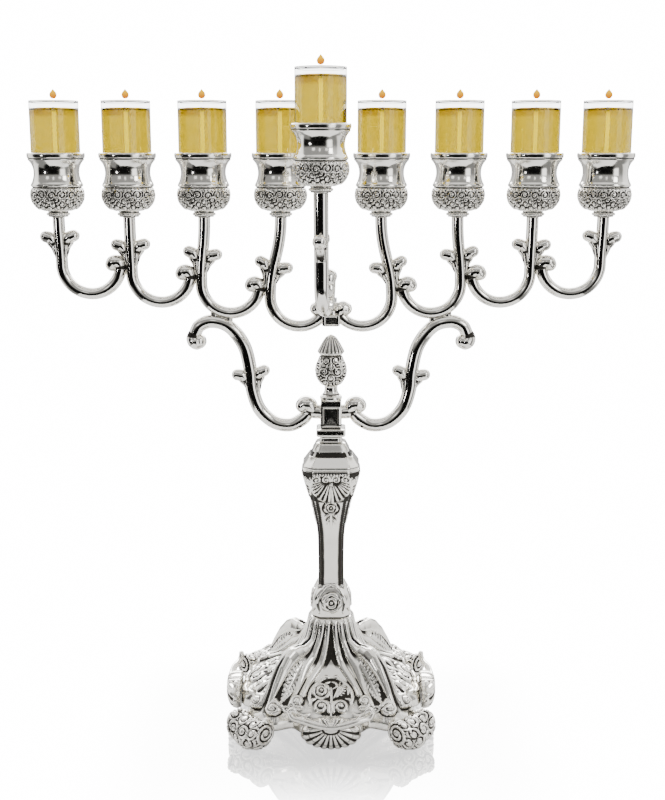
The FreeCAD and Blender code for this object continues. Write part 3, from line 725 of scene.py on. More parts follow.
def branch_parts(cup_reach, top, centre, stop, leaf_distance):
    """Tube, rolled leaf at the bow's end and the pair of leaves, in the XZ plane."""
    outer = centre + np.array([BOW_RADIUS, 0])
    drop = top - centre[1]
    stem = bezier([(cup_reach, top), (cup_reach, top - 0.45 * drop),
                   (outer[0], centre[1] + 0.42 * drop), outer], 200)
    angles = np.radians(np.linspace(0, stop - 180, 160))[1:]
    bow = centre + BOW_RADIUS * np.stack([np.cos(angles), np.sin(angles)], axis=1)
    path = resample(np.vstack([stem, bow]), PATH_STEP)
    distance_left = np.linspace(len(path) * PATH_STEP, 0, len(path))
    near_end = smooth_step(7.0, 0.0, distance_left)
    width = TUBE_WIDTH * (1 + 0.05 * near_end)
    dark = 0.85 * smooth_step(1.6, 0.2, distance_left)
    dark = np.maximum(dark, 0.8 * smooth_step(0.9, 0.0, np.abs(distance_left - distance_left[0])))
    parts = [sweep(in_plane(path), width, TUBE_DEPTH, 40, patina_and_shade=dark)]
    # Rolled leaf: goes on from the bow's end, turning in tightly
    end, before = path[-1], path[-3]
    heading = math.atan2(*(end - before)[::-1])
    parts.append(rolled_tip(end, heading, 3.1, 7.2, 4.3))
    # Leaves stand where the stem is a set distance from the bow's centre
    gap = np.abs(np.linalg.norm(stem - centre, axis=1) - leaf_distance)
    at = int(np.argmin(gap))
    return parts + leaf_pair(stem[at], stem[at + 1] - stem[at - 1])


def make_branches():
    collars_low, _ = node_box("cup_collars")
    for side, sign in SIDES.items():
        for number in ROW:
            cup = node_axis(f"cup_{side}_{number}")
            parts = branch_parts(abs(cup[0]), collars_low[2], bow_centre(number),
                                 BOW_STOPS[number], LEAF_DISTANCE)
            name = f"branch_{side}_{number}"
            part = moved(join(parts), degrees=0 if sign > 0 else 180)
            finish_piece(f"scroll_{side}_{number}", part, silver_tubes, "stand", [name])


ARM_POINTS = [
    (81.5, 241.2), (78.2, 247.2), (70.8, 250.0), (60.6, 246.8), (52.0, 235.5), (48.4, 221.0),
    (47.2, 208.5), (43.0, 196.5), (34.5, 188.6), (25.0, 186.8), (17.5, 190.2), (12.6, 195.0),
]


ARM_LEAF_LEVEL = 221.0


def make_lower_arms():
    """S-scrolled arms with a curl at both ends, a pair of leaves and two lugs on the crown."""
    path = smooth_curve(ARM_POINTS, PATH_STEP)[::-1]
    t = np.linspace(0, 1, len(path))
    width = 4.1 * np.interp(t, [0, 0.05, 0.9, 1], [0.8, 1, 1, 0.9])
    parts = [sweep(in_plane(path), width, 4.4, 40)]
    # The outer end rolls down and in, and the inner one rolls back over the arm
    heading = math.atan2(*(path[-1] - path[-3])[::-1])
    parts.append(rolled_tip(path[-1], heading, 2.7, 5.4, 4.9))
    parts.append(rolled_tip((12.8, 195.0), math.radians(128), 3.3, 8.6, 4.8))
    at = int(np.argmin(np.abs(path[:, 1] - ARM_LEAF_LEVEL)))
    parts += leaf_pair(path[at], path[at - 1] - path[at + 1])
    for reach, level, height in ((69.2, 251.5, 4.0), (60.6, 248.5, 5.0)):
        lug = in_plane([(reach, level), (reach, level + height / 2), (reach, level + height)])
        parts.append(sweep(lug, 2.3, 2.6, 24, patina_and_shade=[0.7, 0.3, 0.7]))
    _, block_high = node_box("arm_block")
    face = block_high[0]
    tongue = in_plane([(face - 0.4, 195.0), (face + 1.0, 195.0), (face + 4.0, 195.2), (face + 7.5, 195.6)])
    parts.append(sweep(resample(tongue, 0.5), 4.4, 4.6, 36))
    whole = join(parts)
    for side, sign in SIDES.items():
        finish_piece(f"lower_scroll_{side}", moved(whole, degrees=0 if sign > 0 else 180),
                     silver_tubes, "stand", [f"lower_arm_{side}"])


def make_shamash_arm():
    axis = node_axis("cup_shamash")
    reach = math.hypot(axis[0], axis[1])
    heading = math.degrees(math.atan2(axis[1], axis[0]))
    low, _ = node_box("shamash_collar")
    parts = branch_parts(reach, low[2], np.array([29.0, 277.5]), 8.0, 32.0)
    eye_low, eye_high = 256.7, 261.7
    eye = [(2.05, eye_low), (3.6, eye_low), (4.1, eye_low + 0.5), (4.1, eye_high - 0.5), (3.6, eye_high),
           (2.05, eye_high)]
    parts.append(ring(eye, 64))
    link = in_plane([(2.9, 259.2), (8.0, 259.2), (14.0, 259.4), (19.5, 261.2)])
    parts.append(sweep(resample(link, 0.5), 2.45, 3.2, 32))
    part = moved(join(parts), degrees=heading)
    finish_piece("servant_arm", part, silver_tubes, "shamash", ["shamash_arm"])


def ring(outline, columns):
    """Turned ring with a hole: the outline closes on itself."""
    profile = resample(np.array(list(outline) + [outline[0]], dtype=float), 0.35)[:-1]
    angle = np.linspace(0, 2 * math.pi, columns, endpoint=False)
    turn, radii = np.meshgrid(angle, profile[:, 0])
    points = turned(radii, turn, widened(profile[:, 1], columns)).reshape(-1, 3)
    index = np.arange(len(points)).reshape(radii.shape)
    right, down = np.roll(index, -1, 1), np.roll(index, -1, 0)
    quads = np.stack([index, right, np.roll(right, -1, 0), down], axis=-1).reshape(-1, 4)
    if signed_volume(points, [quads]) < 0:
        quads = quads[:, ::-1]
    return points, [quads], np.zeros(len(points))


# ---------------------------------------------------------------- four-sided castings


def octagon_reach(angle, half, chamfer):
    """Distance from the axis to a chamfered square, its corners a little softened."""
    c, s = np.abs(np.cos(angle)), np.abs(np.sin(angle))
    flat = half / np.maximum(c, s)
    corner = (2 * half - chamfer) / (c + s)
    softness = 30.0
    return (flat ** -softness + corner ** -softness) ** (-1 / softness)


def four_sided(stations, step, columns, relief):
    """Skin over (level, half, chamfer) stations; relief(across, level, half) on each face."""
    stations = np.asarray(stations, dtype=float)
    curve = smooth_curve(np.column_stack([stations[:, 1], stations[:, 0], stations[:, 2]]), step)
    half, level, chamfer = curve[:, 0], curve[:, 1], curve[:, 2]
    angle = np.linspace(-math.pi / 4, 7 * math.pi / 4, columns, endpoint=False)
    turn = np.repeat(angle[None, :], len(level), axis=0)
    halves, levels, chamfers = (widened(item, columns) for item in (half, level, chamfer))
    reach = octagon_reach(turn, halves, chamfers)
    grid = turned(reach, turn, levels)
    local = (turn + math.pi / 4) % (math.pi / 2) - math.pi / 4
    across = reach * np.sin(local)
    height, patina_and_shade = relief(across, levels, halves)
    normal = surface_normals(grid)
    outward = np.sign((normal[..., :2] * grid[..., :2]).sum(-1).mean()) or 1.0
    grid = grid + outward * normal * height[..., None]
    return skin(grid, patina_and_shade)


COLUMN = [
    (66.5, 10.6, 4.2), (67.0, 11.7, 4.6), (71.0, 12.0, 5.2), (76.0, 12.0, 5.4), (80.5, 11.2, 4.8),
    (84.0, 9.2, 3.8), (86.4, 8.2, 3.2), (90.0, 7.9, 3.0), (100.0, 7.8, 3.0), (112.0, 8.0, 3.1),
    (121.0, 8.4, 3.2), (130.0, 9.8, 3.8), (142.0, 12.4, 4.8), (152.0, 15.4, 5.9), (157.5, 16.8, 6.3),
    (160.5, 17.2, 6.4), (162.0, 17.0, 6.4),
]


def column_relief(across, levels, halves):
    """Shell palmette, rose and sprig under the shoulder, beaded edges, and a rose in the knot."""
    # Palmette: two volutes at the top with a fan of ribs spreading down from them
    strokes = [dot(0.0, 153.6, 1.3)]
    strokes += [dot(1.7 * number, 159.8, 0.8) for number in range(-6, 7)]
    strokes += mirrored(fan(0.0, 157.0, 2.6, 14.4, -86, -62, 3, 0.85))
    strokes += mirrored(fan(1.6, 157.0, 2.8, 12.6, -56, -14, 5, 0.80))
    strokes += rose(0.0, 137.8, 4.0, 30)
    strokes += [curved([(0.0, 134.0), (0.0, 129.0), (0.0, 124.0)], 0.6, 0.8, 0.3)]
    # Rose in the knot, with leaves wrapped round it
    strokes += rose(0.2, 77.0, 5.6, 40)
    strokes += [curved([(-3.4, 74.2), (-3.6, 79.0), (0.0, 82.4), (3.8, 79.2)], 0.4, 0.8, 0.4)]
    spirals = (
        (3.0, 157.0, 2.7, 1.5, 200, 0.75, -1),
        (8.4, 157.0, 2.3, 1.3, 20, 0.7, 1),
        (13.4, 155.0, 2.6, 1.4, 120, 0.8, 1),
    )
    curves = (
        ([(10.4, 158.6), (12.2, 154.0), (11.2, 149.0), (8.4, 144.6), (3.6, 141.8)], 0.3, 0.62, 0.4),
        ([(13.2, 151.6), (13.6, 147.4), (11.0, 142.6)], 0.5, 1.1, 0.5),
        ([(15.6, 152.0), (15.0, 147.0), (12.4, 142.0)], 0.5, 1.0, 0.5),
        ([(0.8, 133.4), (3.0, 132.2), (3.4, 130.2)], 0.4, 0.9, 0.3),
        ([(0.6, 130.6), (2.4, 129.2), (2.4, 127.2)], 0.4, 0.75, 0.3),
        ([(3.4, 85.8), (7.4, 82.4), (9.2, 76.6), (7.4, 70.8)], 0.7, 1.5, 0.8),
        ([(6.6, 86.4), (10.2, 82.6), (11.2, 77.0)], 0.6, 1.2, 0.6),
        ([(0.2, 87.6), (3.0, 86.6), (5.6, 84.4)], 0.4, 0.95, 0.5),
    )
    strokes += pairs(spirals, curves)
    height = raise_strokes(across, levels, strokes)
    # Black beaded grooves along the edges of the shaft's panels
    edge = halves * 0.69
    groove = np.exp(-((np.abs(across) - edge) / 1.1) ** 2)
    shaft = smooth_step(85.0, 88.0, levels) * smooth_step(147.0, 144.0, levels)
    bead = 0.5 + 0.5 * np.cos(levels * 2 * math.pi / 1.5)
    palmette = smooth_step(140.5, 142.5, levels) * smooth_step(161.0, 160.4, levels)
    bud = smooth_step(6.2, 5.0, np.hypot(across, (levels - 137.6) * 1.1))
    knot = smooth_step(71.0, 72.5, levels) * smooth_step(87.0, 85.0, levels) * (np.abs(across) < 9.0)
    flower = smooth_step(6.4, 5.6, np.hypot(across, levels - 77.4))
    patina_and_shade = ink(height, 0.14, 0.50) * np.maximum(np.maximum(palmette, bud), flower)
    patina_and_shade = np.maximum(patina_and_shade, cavity(height, 0.55, 5) * np.maximum(knot, smooth_step(123, 125, levels)
                                                                     * smooth_step(136, 134, levels)))
    patina_and_shade = np.maximum(patina_and_shade, shaft * groove ** 0.6 * (1 - 0.3 * bead))
    height = height + shaft * groove * (0.25 * bead - 0.8)
    patina_and_shade = np.maximum(patina_and_shade, 0.85 * np.exp(-((levels - 67.4) / 0.6) ** 2))
    return 0.85 * height, np.clip(patina_and_shade, 0, 1)


def make_column():
    part = four_sided(COLUMN, 0.36, 400, column_relief)
    finish_piece("stem_column", part, silver_stem, "stand", ["column_casting"])


CAP = [
    (162.0, 16.6, 6.3), (162.6, 17.0, 6.4), (163.8, 16.9, 6.2), (165.2, 15.9, 5.8), (168.0, 14.0, 5.2),
    (169.6, 12.9, 4.8), (172.6, 11.0, 4.1), (175.4, 9.5, 3.5), (176.6, 8.8, 3.2), (177.0, 8.0, 2.9),
    (177.6, 7.0, 2.4), (179.0, 6.7, 2.1), (180.4, 6.9, 1.9), (180.9, 8.0, 1.2), (181.2, 8.5, 0.8),
    (182.2, 8.8, 0.7), (184.6, 8.8, 0.7), (185.2, 8.6, 0.7), (185.4, 8.2, 0.7),
]


def cap_relief(across, levels, halves):
    """Black step across the pyramid, and a dark line under the plate."""
    band = smooth_step(169.2, 169.8, levels) * smooth_step(172.4, 171.8, levels)
    band = band * smooth_step(1.0, 0.9, np.abs(across) / (0.8 * halves))
    line = np.exp(-((levels - 180.9) / 0.4) ** 2) + 0.7 * np.exp(-((levels - 163.3) / 0.35) ** 2)
    return -0.5 * band, np.clip(0.95 * band + 0.8 * line, 0, 1)


def make_cap():
    part = four_sided(CAP, 0.35, 320, cap_relief)
    finish_piece("stem_cap", part, silver_stem, "stand", ["column_cap"])


def block_relief(across, levels, halves):
    """Sunk square panel on each face of the arm block."""
    low, high = node_box("arm_block")
    middle = (low[2] + high[2]) / 2 - 1.0
    beside, above = np.abs(across), np.abs(levels - middle)
    inside = smooth_step(4.7, 4.4, beside) * smooth_step(5.6, 5.3, above)
    rim = smooth_step(5.4, 4.9, beside) * smooth_step(6.3, 5.8, above) - inside
    # The panel's floor rises to a low four-sided point
    point = np.clip(1 - np.maximum(beside / 3.6, above / 4.4), 0, 1)
    groove = 0.9 * np.exp(-((levels - low[2] - 2.4) / 0.4) ** 2)
    return 0.25 * rim - 0.8 * inside + 0.42 * point, 0.5 * inside * smooth_step(3.0, 4.4, beside) + groove


def make_block():
    low, high = node_box("arm_block")
    half = high[0]
    stations = [(low[2], half - 0.5, 0.3), (low[2] + 0.3, half - 0.1, 0.3), (low[2] + 1.0, half, 0.3),
                (high[2] - 1.0, half, 0.3), (high[2] - 0.3, half - 0.1, 0.3), (high[2], half - 0.5, 0.3)]
    part = four_sided(stations, 0.3, 240, block_relief)
    finish_piece("stem_block", part, silver_stem, "stand", ["arm_block"])


def make_hub():
    low, high = node_box("top_hub")
    half_x, half_y = high[0], high[1]
    top = low[2] + 7.0
    stations = [(low[2], half_x - 0.8, 0.5), (low[2] + 0.3, half_x - 0.3, 0.5), (low[2] + 0.9, half_x, 0.5),
                (top - 0.9, half_x, 0.5), (top - 0.3, half_x - 0.3, 0.5), (top, half_x - 0.9, 0.5)]

    def relief(across, levels, halves):
        above = np.abs(levels - (low[2] + top) / 2)
        inside = smooth_step(3.7, 3.4, np.abs(across)) * smooth_step(2.5, 2.2, above)
        return -0.5 * inside, 0.35 * inside

    body = four_sided(stations, 0.3, 200, relief)
    body[0][:, 1] *= half_y / half_x
    boss = [(0.0, top - 0.5), (4.0, top - 0.5), (4.4, top + 0.3), (4.4, high[2] - 0.4), (4.0, high[2]),
            (0.0, high[2])]
    parts = [body, lathe(boss, 0.3, 72)]
    finish_piece("row_hub", join(parts), silver_tubes, "stand", ["top_hub"])


# ---------------------------------------------------------------- finial


def make_finial():
    """Bud: fluted cap over a belly wrapped in scrolls, on a turned collar."""
    foot, tip = (box[2] for box in node_box("finial"))
    outline = [
        (0.0, 0.0), (5.6, 0.0), (6.3, 0.4), (6.6, 1.3), (6.4, 2.4), (5.4, 3.4), (4.6, 4.4), (4.0, 5.8),
        (3.9, 8.0), (4.5, 9.2), (6.2, 11.0), (7.9, 13.6), (8.8, 16.6), (8.9, 19.2), (8.2, 22.0),
        (7.0, 24.8), (6.4, 26.4), (6.5, 27.6), (7.3, 28.5), (7.5, 29.4), (7.1, 30.4), (5.9, 32.6),
        (4.4, 35.2), (2.8, 37.6), (1.3, 39.3), (0.05, 40.0),
    ]
    scale = (tip - foot) / 40.1
    outline = [(radius, foot + level * scale) for radius, level in outline]

    def relief(turn, levels, radii):
        local = (turn + math.pi / 4) % (math.pi / 2) - math.pi / 4
        across = radii * np.sin(local)
        level = levels - foot
        strokes = pairs(((2.9, 14.2, 2.2, 1.4, 100, 0.55, 1),), (
            ([(1.0, 25.6), (4.2, 24.0), (6.0, 20.6), (5.4, 16.6)], 0.35, 0.7, 0.45),
            ([(0.4, 22.4), (2.2, 21.2), (3.4, 19.0), (3.0, 17.2)], 0.3, 0.65, 0.3),
            ([(6.4, 26.0), (7.2, 24.4), (7.0, 22.4)], 0.4, 0.7, 0.3),
        ))
        strokes += [curved([(0.0, 26.0), (0.0, 22.0), (0.0, 18.2)], 0.3, 0.8, 0.3)]
        strokes += mirrored(feather([(0.0, 10.0), (0.0, 12.6), (0.0, 16.0)], 2.0, 0.9, 0.4))
        centres = [(-3.4, 11.6), (3.4, 11.6), (0.0, 14.8), (-4.0, 18.6), (4.0, 18.6), (0.0, 21.4),
                   (-2.8, 25.2), (2.8, 25.2)]
        coils = 0.7 * scrollwork(across, level, centres, 1.55) * smooth_step(27.2, 26.6, level)
        height = np.maximum(raise_strokes(across, level, strokes) * 0.9, coils)
        height = height * smooth_step(9.0, 10.5, level)
        flutes = np.abs(np.sin(turn * 10)) ** 0.6
        cap = smooth_step(28.8, 29.6, level) * smooth_step(40.0, 37.5, level)
        height = height + 0.7 * cap * flutes
        belly = smooth_step(9.0, 10.5, level) * smooth_step(27.2, 26.4, level)
        patina_and_shade = ink(height, 0.24, 0.60) * belly
        patina_and_shade = np.maximum(patina_and_shade, cap * (1 - flutes) ** 1.2 * 1.6)
        rings = np.exp(-((level - 27.4) / 0.35) ** 2) + np.exp(-((level - 3.9) / 0.4) ** 2)
        return height, np.clip(patina_and_shade + 0.8 * rings, 0, 1)

    part = lathe(outline, 0.24, 288, relief)
    finish_piece("bud_finial", part, silver_stem, "stand", ["finial"])


# ---------------------------------------------------------------- base

FACE_PROFILE = [
    (12.3, 66.5), (12.6, 65.6), (13.2, 62.0), (14.4, 57.0), (16.2, 52.0), (18.2, 47.6), (19.6, 44.4),
    (22.0, 40.4), (26.0, 36.2), (31.0, 32.2), (37.0, 29.2), (43.0, 26.4), (48.6, 23.4), (53.0, 20.2),
    (55.6, 17.0), (56.4, 13.6),
]
RIB_HEIGHT = [(12.3, 0.0), (15.5, 0.5), (18.5, 5.0), (21.5, 11.5), (25.0, 15.6), (28.5, 16.2), (32.5, 13.2),
              (36.8, 7.0), (40.0, 1.4), (43.0, -2.6), (47.0, -5.4), (52.0, -5.0), (58.0, -2.0)]
SECTOR_COLUMNS = 176
NOTCHES = ((27.5, 7.0, 8.0), (45.0, 3.0, 5.0))
CORNER_LIMIT = [(12.3, 60.0), (36.0, 74.5), (42.0, 80.0), (46.0, 84.5), (50.0, 88.0), (54.0, 91.5),
                (58.0, 94.0)]


def base_ribs():
    """Smooth ribs that run from the neck down each half of a face."""
    inner = [(1.9, 12.3), (2.9, 15.4), (4.6, 19.0), (7.6, 23.0), (11.2, 27.2), (14.4, 31.6), (16.4, 36.0),
             (17.0, 38.0)]
    middle = [(5.4, 12.3), (7.6, 15.6), (10.6, 19.4), (14.0, 23.6), (17.4, 29.0), (20.4, 35.0),
              (23.2, 41.0), (25.4, 46.0)]
    corner = [(9.6, 12.5), (12.8, 16.2), (17.4, 21.0), (24.0, 27.6), (31.0, 34.6), (37.4, 41.0),
              (41.4, 45.4)]
    return mirrored([curved(inner, 1.7, 1.9, 2.2), curved(middle, 1.7, 1.7, 1.0),
                     curved(corner, 1.7, 1.9, 1.5)])


def base_ornament():
    """Roses, volutes and feathers of one face, in plan: across the face and out from the axis."""
    strokes = rose(-5.8, 35.8, 5.2, 0)
    strokes += [curved([(1.6, 40.4), (4.2, 35.6), (5.4, 29.8)], 0.4, 0.9, 0.4),
                curved([(0.0, 33.0), (0.3, 42.0), (0.0, 51.6)], 0.5, 0.9, 0.6)]
    strokes += feather([(3.4, 39.6), (6.6, 36.0), (8.2, 30.0)], 3.4, 1.5, 0.62, 52)
    strokes += mirrored(feather([(17.8, 25.8), (22.0, 31.2), (26.8, 37.6), (31.4, 44.4)], 5.0, 2.1, 0.85))
    spirals = (
        (5.8, 46.6, 5.0, 1.6, 150, 1.1, 1),
        (20.2, 43.0, 4.6, 1.5, 120, 1.3, -1),
        (36.0, 47.4, 5.8, 1.7, 200, 1.45, 1),
        (27.4, 48.4, 3.2, 1.3, 60, 0.9, -1),
    )
    curves = (
        ([(1.0, 27.4), (3.6, 27.0), (5.0, 28.6)], 0.4, 0.9, 0.4),
        ([(8.6, 40.6), (11.4, 41.6), (12.4, 44.4)], 0.4, 1.0, 0.4),
        ([(0.4, 29.6), (3.0, 30.6), (3.4, 33.0), (1.2, 34.2)], 0.4, 0.8, 0.5),
        ([(5.6, 28.6), (10.6, 32.4), (13.0, 38.0), (12.0, 44.0)], 0.6, 1.0, 0.7),
        ([(0.4, 43.6), (3.0, 42.6), (5.6, 43.2)], 0.4, 0.8, 0.4),
        ([(9.6, 33.4), (10.6, 35.8), (10.0, 38.4)], 0.4, 0.8, 0.4),
        ([(8.4, 24.6), (13.0, 30.0), (14.6, 36.4)], 0.4, 0.9, 0.4),
        ([(12.6, 50.0), (16.6, 51.6), (21.4, 50.4)], 0.5, 1.1, 0.6),
        ([(1.0, 53.4), (8.0, 54.2), (14.6, 53.0)], 0.6, 1.1, 0.7),
    )
    return strokes + pairs(spirals, curves)


BOSSES = ((36.0, 47.4, 6.0, 3.4), (20.2, 43.0, 4.8, 3.0), (5.8, 35.0, 5.4, 1.8), (5.8, 46.6, 5.0, 2.4))


def make_base():
    """Concave four-sided body with high corner ribs, a petalled skirt and a hollow underside."""
    profile = smooth_curve(FACE_PROFILE, 0.42)
    out, level = profile[:, 0], profile[:, 1]
    u = np.linspace(-1, 1, SECTOR_COLUMNS, endpoint=False) + 1 / SECTOR_COLUMNS
    side, reach = np.meshgrid(u, out)
    across = side * reach
    # The neck is rounder than the square below it
    roundness = smooth_step(24.0, 13.0, reach)
    pull = 1 - roundness * (1 - 1 / np.sqrt(1 + 0.75 * side ** 4))
    # Further out its corners are cut off, where the feet stand out beyond it
    limit = np.interp(reach, *zip(*CORNER_LIMIT)) / (reach + np.abs(across))
    pull = pull * (1 + limit ** -12.0) ** (-1 / 12.0)
    levels = widened(level, SECTOR_COLUMNS)
    rib = np.interp(reach, *zip(*RIB_HEIGHT))
    from_corner = (reach - np.abs(across)) / math.sqrt(2)
    half_width = 3.2 + 0.10 * reach
    levels = levels + rib * np.exp(-(from_corner / half_width) ** 2)
    # Notches in the outline between the shell, the side and the foot
    edge = smooth_step(44.0, 56.0, reach)
    inset = np.zeros_like(reach)
    for middle, depth, spread in NOTCHES:
        inset += depth * np.exp(-((np.abs(across) - middle) / spread) ** 2)
    plan = (reach - inset * edge) * pull
    sector = np.stack([across * plan / reach, -plan, levels], axis=-1)
    ribs = raise_strokes(across, reach, base_ribs())
    ornament = raise_strokes(across, reach, base_ornament())
    bosses = np.zeros_like(reach)
    for middle, out_at, spread, rise in BOSSES:
        square = (np.abs(across) - middle) ** 2 + (reach - out_at) ** 2
        bosses = np.maximum(bosses, rise * np.exp(-square / (0.62 * spread ** 2)))
    starting = smooth_step(12.4, 13.0, reach)
    height = np.maximum(ribs * starting, ornament) + bosses
    # Black in the flutes at the neck, behind the medallion and behind the feathers
    neck = smooth_step(26.0, 18.0, reach) * smooth_step(12.4, 13.4, reach)
    flutes = ink(ribs, 0.6, 1.35) * neck * smooth_step(3.0, 4.2, np.abs(across) + 0.9 * (24 - reach))
    medallion = smooth_step(1.05, 0.9, np.hypot(across / 12.4, (reach - 40.0) / 12.6))
    for middle, out_at, spread, _ in BOSSES[:2]:
        disc = np.hypot(np.abs(across) - middle, reach - out_at) / spread
        medallion = np.maximum(medallion, 0.8 * smooth_step(1.05, 0.9, disc))
    spine = np.abs(np.abs(across) - np.interp(reach, (25.8, 31.2, 37.6, 44.4), (17.8, 22.0, 26.8, 31.4)))
    panel = smooth_step(4.4, 3.4, spine) * smooth_step(25.5, 27.0, reach) * smooth_step(46.0, 44.5, reach)
    grounds = np.maximum(medallion, panel) * ink(np.maximum(ornament, 0.8 * ribs), 0.12, 0.52)
    patina_and_shade = cavity(height, 0.75, 5, wrap=False) * smooth_step(26.0, 31.0, reach)
    patina_and_shade = np.clip(np.maximum(np.maximum(patina_and_shade, grounds), flutes), 0, 1)
    sectors = [turn_z(sector.reshape(-1, 3), 90 * index).reshape(sector.shape) for index in range(4)]
    grid = np.concatenate(sectors, axis=1)
    height = np.concatenate([height] * 4, axis=1)
    patina_and_shade = np.concatenate([patina_and_shade] * 4, axis=1)
    normal = surface_normals(grid)
    if normal[..., 2].mean() < 0:
        normal = -normal
    grid = grid + normal * (height * 0.9)[..., None]
    # Underside: the lip turns in and the wall follows the outside up to a ceiling
    rim = grid[-1]
    inner_rows = []
    for shrink, rise in ((0.995, -1.2), (0.975, -1.8), (0.95, -1.4), (0.93, 0.0), (0.90, 3.0), (0.80, 6.0),
                         (0.65, 9.5), (0.50, 14.0), (0.36, 20.0), (0.26, 26.0), (0.20, 29.0), (0.06, 30.0)):
        row = rim * np.array([shrink, shrink, 0.0])
        evened = min(1.0, (1 - shrink) * 8)
        row[:, 2] = rim[:, 2] * (1 - evened) + rim[:, 2].mean() * evened + rise
        inner_rows.append(row)
    grid = np.concatenate([grid, np.stack(inner_rows)], axis=0)
    patina_and_shade = np.concatenate([patina_and_shade, np.full((len(inner_rows), patina_and_shade.shape[1]), 0.35)], axis=0)
    part = skin(grid, patina_and_shade)
    finish_piece("base_body", part, silver_base, "stand", ["base_casting"])


def lay_across(part, heading, offset):
    """Turn a piece made about Z so that its axis lies level, across a heading, at an offset."""
    points, faces, values = part
    rolled = np.stack([points[:, 0], -points[:, 2], points[:, 1]], axis=1)
    return moved((rolled, faces, values), offset, heading)


def foot_relief(turn, levels, radii):
    """Coils all round the barrel of a foot, and one volute on each of its ends."""
    barrel = smooth_step(6.0, 7.0, radii)
    sector = 2 * math.pi / 4
    around = (turn % sector) * 8.4
    width = sector * 8.4
    centres = []
    for shift in (-width, 0, width):
        centres += [(shift + 3.4, -9.6), (shift + 10.2, -6.4), (shift + 4.4, -1.8)]
        centres += [(shift + 10.8, 2.6), (shift + 3.6, 6.6), (shift + 9.8, 11.0)]
    coils = scrollwork(around, levels, centres, 2.5)
    x, y = radii * np.cos(turn), radii * np.sin(turn)
    ends = scrollwork(x, y, [(0.4, 0.3)], 2.6)
    height = coils * barrel + ends * (1 - barrel)
    return height * 1.2, ink(height, 0.16, 0.52)


FOOT_REACH, FOOT_AXIS_HEIGHT = 48.2, 9.5


def make_feet():
    """Rolled feet that lie across the four corners."""
    outline = [(0.0, -14.2), (2.6, -14.0), (5.4, -13.4), (7.0, -12.0), (7.8, -9.6), (7.6, -6.4), (8.3, -3.0),
               (8.6, 0.0), (8.3, 3.0), (7.6, 6.4), (7.8, 9.6), (7.0, 12.0), (5.4, 13.4), (2.6, 14.0),
               (0.0, 14.2)]
    points, faces, values = lathe(outline, 0.42, 132, foot_relief)
    # Both ends of the roll lift off the table
    points[:, 1] += 3.4 * (points[:, 2] / 13.0) ** 2
    # and its relief is worn flat where it stands on it
    points[:, 1] = np.maximum(points[:, 1], -FOOT_AXIS_HEIGHT)
    roll = (points, faces, values)
    parts = []
    out = FOOT_REACH * math.sqrt(2)
    for heading in (45, 135, 225, 315):
        angle = math.radians(heading)
        spot = (out * math.cos(angle), out * math.sin(angle), FOOT_AXIS_HEIGHT)
        parts.append(lay_across(roll, heading, spot))
    finish_piece("base_feet", join(parts), silver_base, "stand")


SHELL_SPOT = (0, -57.4, 21.4)


def make_shells():
    """Ribbed scallop in the middle of each side, hinge up and rim down, and the lip over it."""
    rows, columns = 44, 196
    half_wide, half_high, hinge = 17.2, 9.5, 6.4
    angle = np.linspace(-math.pi, math.pi, columns, endpoint=False)
    turn, r = np.meshgrid(angle, np.linspace(0.03, 1, rows))
    # Distance from the hinge to an oval rim
    dx, dz = np.sin(turn), -np.cos(turn)
    a = (dx / half_wide) ** 2 + (dz / half_high) ** 2
    b = 2 * dz * hinge / half_high ** 2
    c = (hinge / half_high) ** 2 - 1
    rim = (-b + np.sqrt(b * b - 4 * a * c)) / (2 * a)
    spread = smooth_step(math.radians(152), math.radians(138), np.abs(turn))
    ribs = np.abs(np.cos(turn / math.radians(240) * math.pi * 15)) ** 0.7 * spread
    reach = (rim + 0.8 * ribs) * r
    x, drop = dx * reach, dz * reach
    height = 6.6 * np.sqrt(np.clip(1 - r ** 2.6, 0, 1)) + 1.0
    height = height + 1.0 * ribs * smooth_step(0.12, 0.5, r) * (1 - 0.4 * smooth_step(0.85, 1.0, r))
    height = height + 0.6 * np.exp(-((r - 0.10) / 0.06) ** 2)
    patina_and_shade = (1 - ribs) ** 1.1 * 1.5 * smooth_step(0.2, 0.4, r) * smooth_step(1.0, 0.90, r) * spread
    patina_and_shade = np.maximum(patina_and_shade, 0.9 * np.exp(-((r - 0.26) / 0.04) ** 2) * spread)
    patina_and_shade = np.maximum(patina_and_shade, 0.5 * np.exp(-((r - 0.72) / 0.03) ** 2) * spread)
    front = np.stack([x, -height, drop], axis=-1)
    back = np.stack([x * 0.97, 0 * height + 0.8, drop * 0.97], axis=-1)[::-1]
    grid = np.concatenate([front, back], axis=0)
    dark = np.concatenate([np.clip(patina_and_shade, 0, 1), np.full(patina_and_shade.shape, 0.3)], axis=0)
    points, faces, values = skin(grid, patina_and_shade=dark)
    parts = []
    for index in range(4):
        placed = points + np.array(SHELL_SPOT)
        parts.append((turn_z(placed, 90 * index), faces, values))
    # Scrolled lip of the body that dips over the top of each shell
    path = [(-20.4, -58.6, 27.6), (-22.4, -58.4, 29.4), (-24.2, -58.4, 27.4), (-22.0, -59.4, 24.4)]
    path += [(-15.0, -62.0, 23.6), (-7.5, -63.2, 21.8), (0.0, -63.6, 21.0)]
    path += [(-x, y, z) for x, y, z in path[-2::-1]]
    spine = smooth_curve(path, 0.7)
    bulk = 1.1 + 1.1 * np.sin(np.linspace(0, math.pi, len(spine))) ** 0.5
    lip = sweep(spine, bulk, bulk)
    for index in range(4):
        parts.append(moved(lip, degrees=90 * index))
    finish_piece("base_shells", join(parts), silver_base, "stand")


# ---------------------------------------------------------------- lights


def light_bodies():
    """Light name and the body that its cup belongs to."""
    found = [(f"{side}_{number}", "stand") for side in SIDES for number in ROW]
    return found + [("shamash", "shamash")]


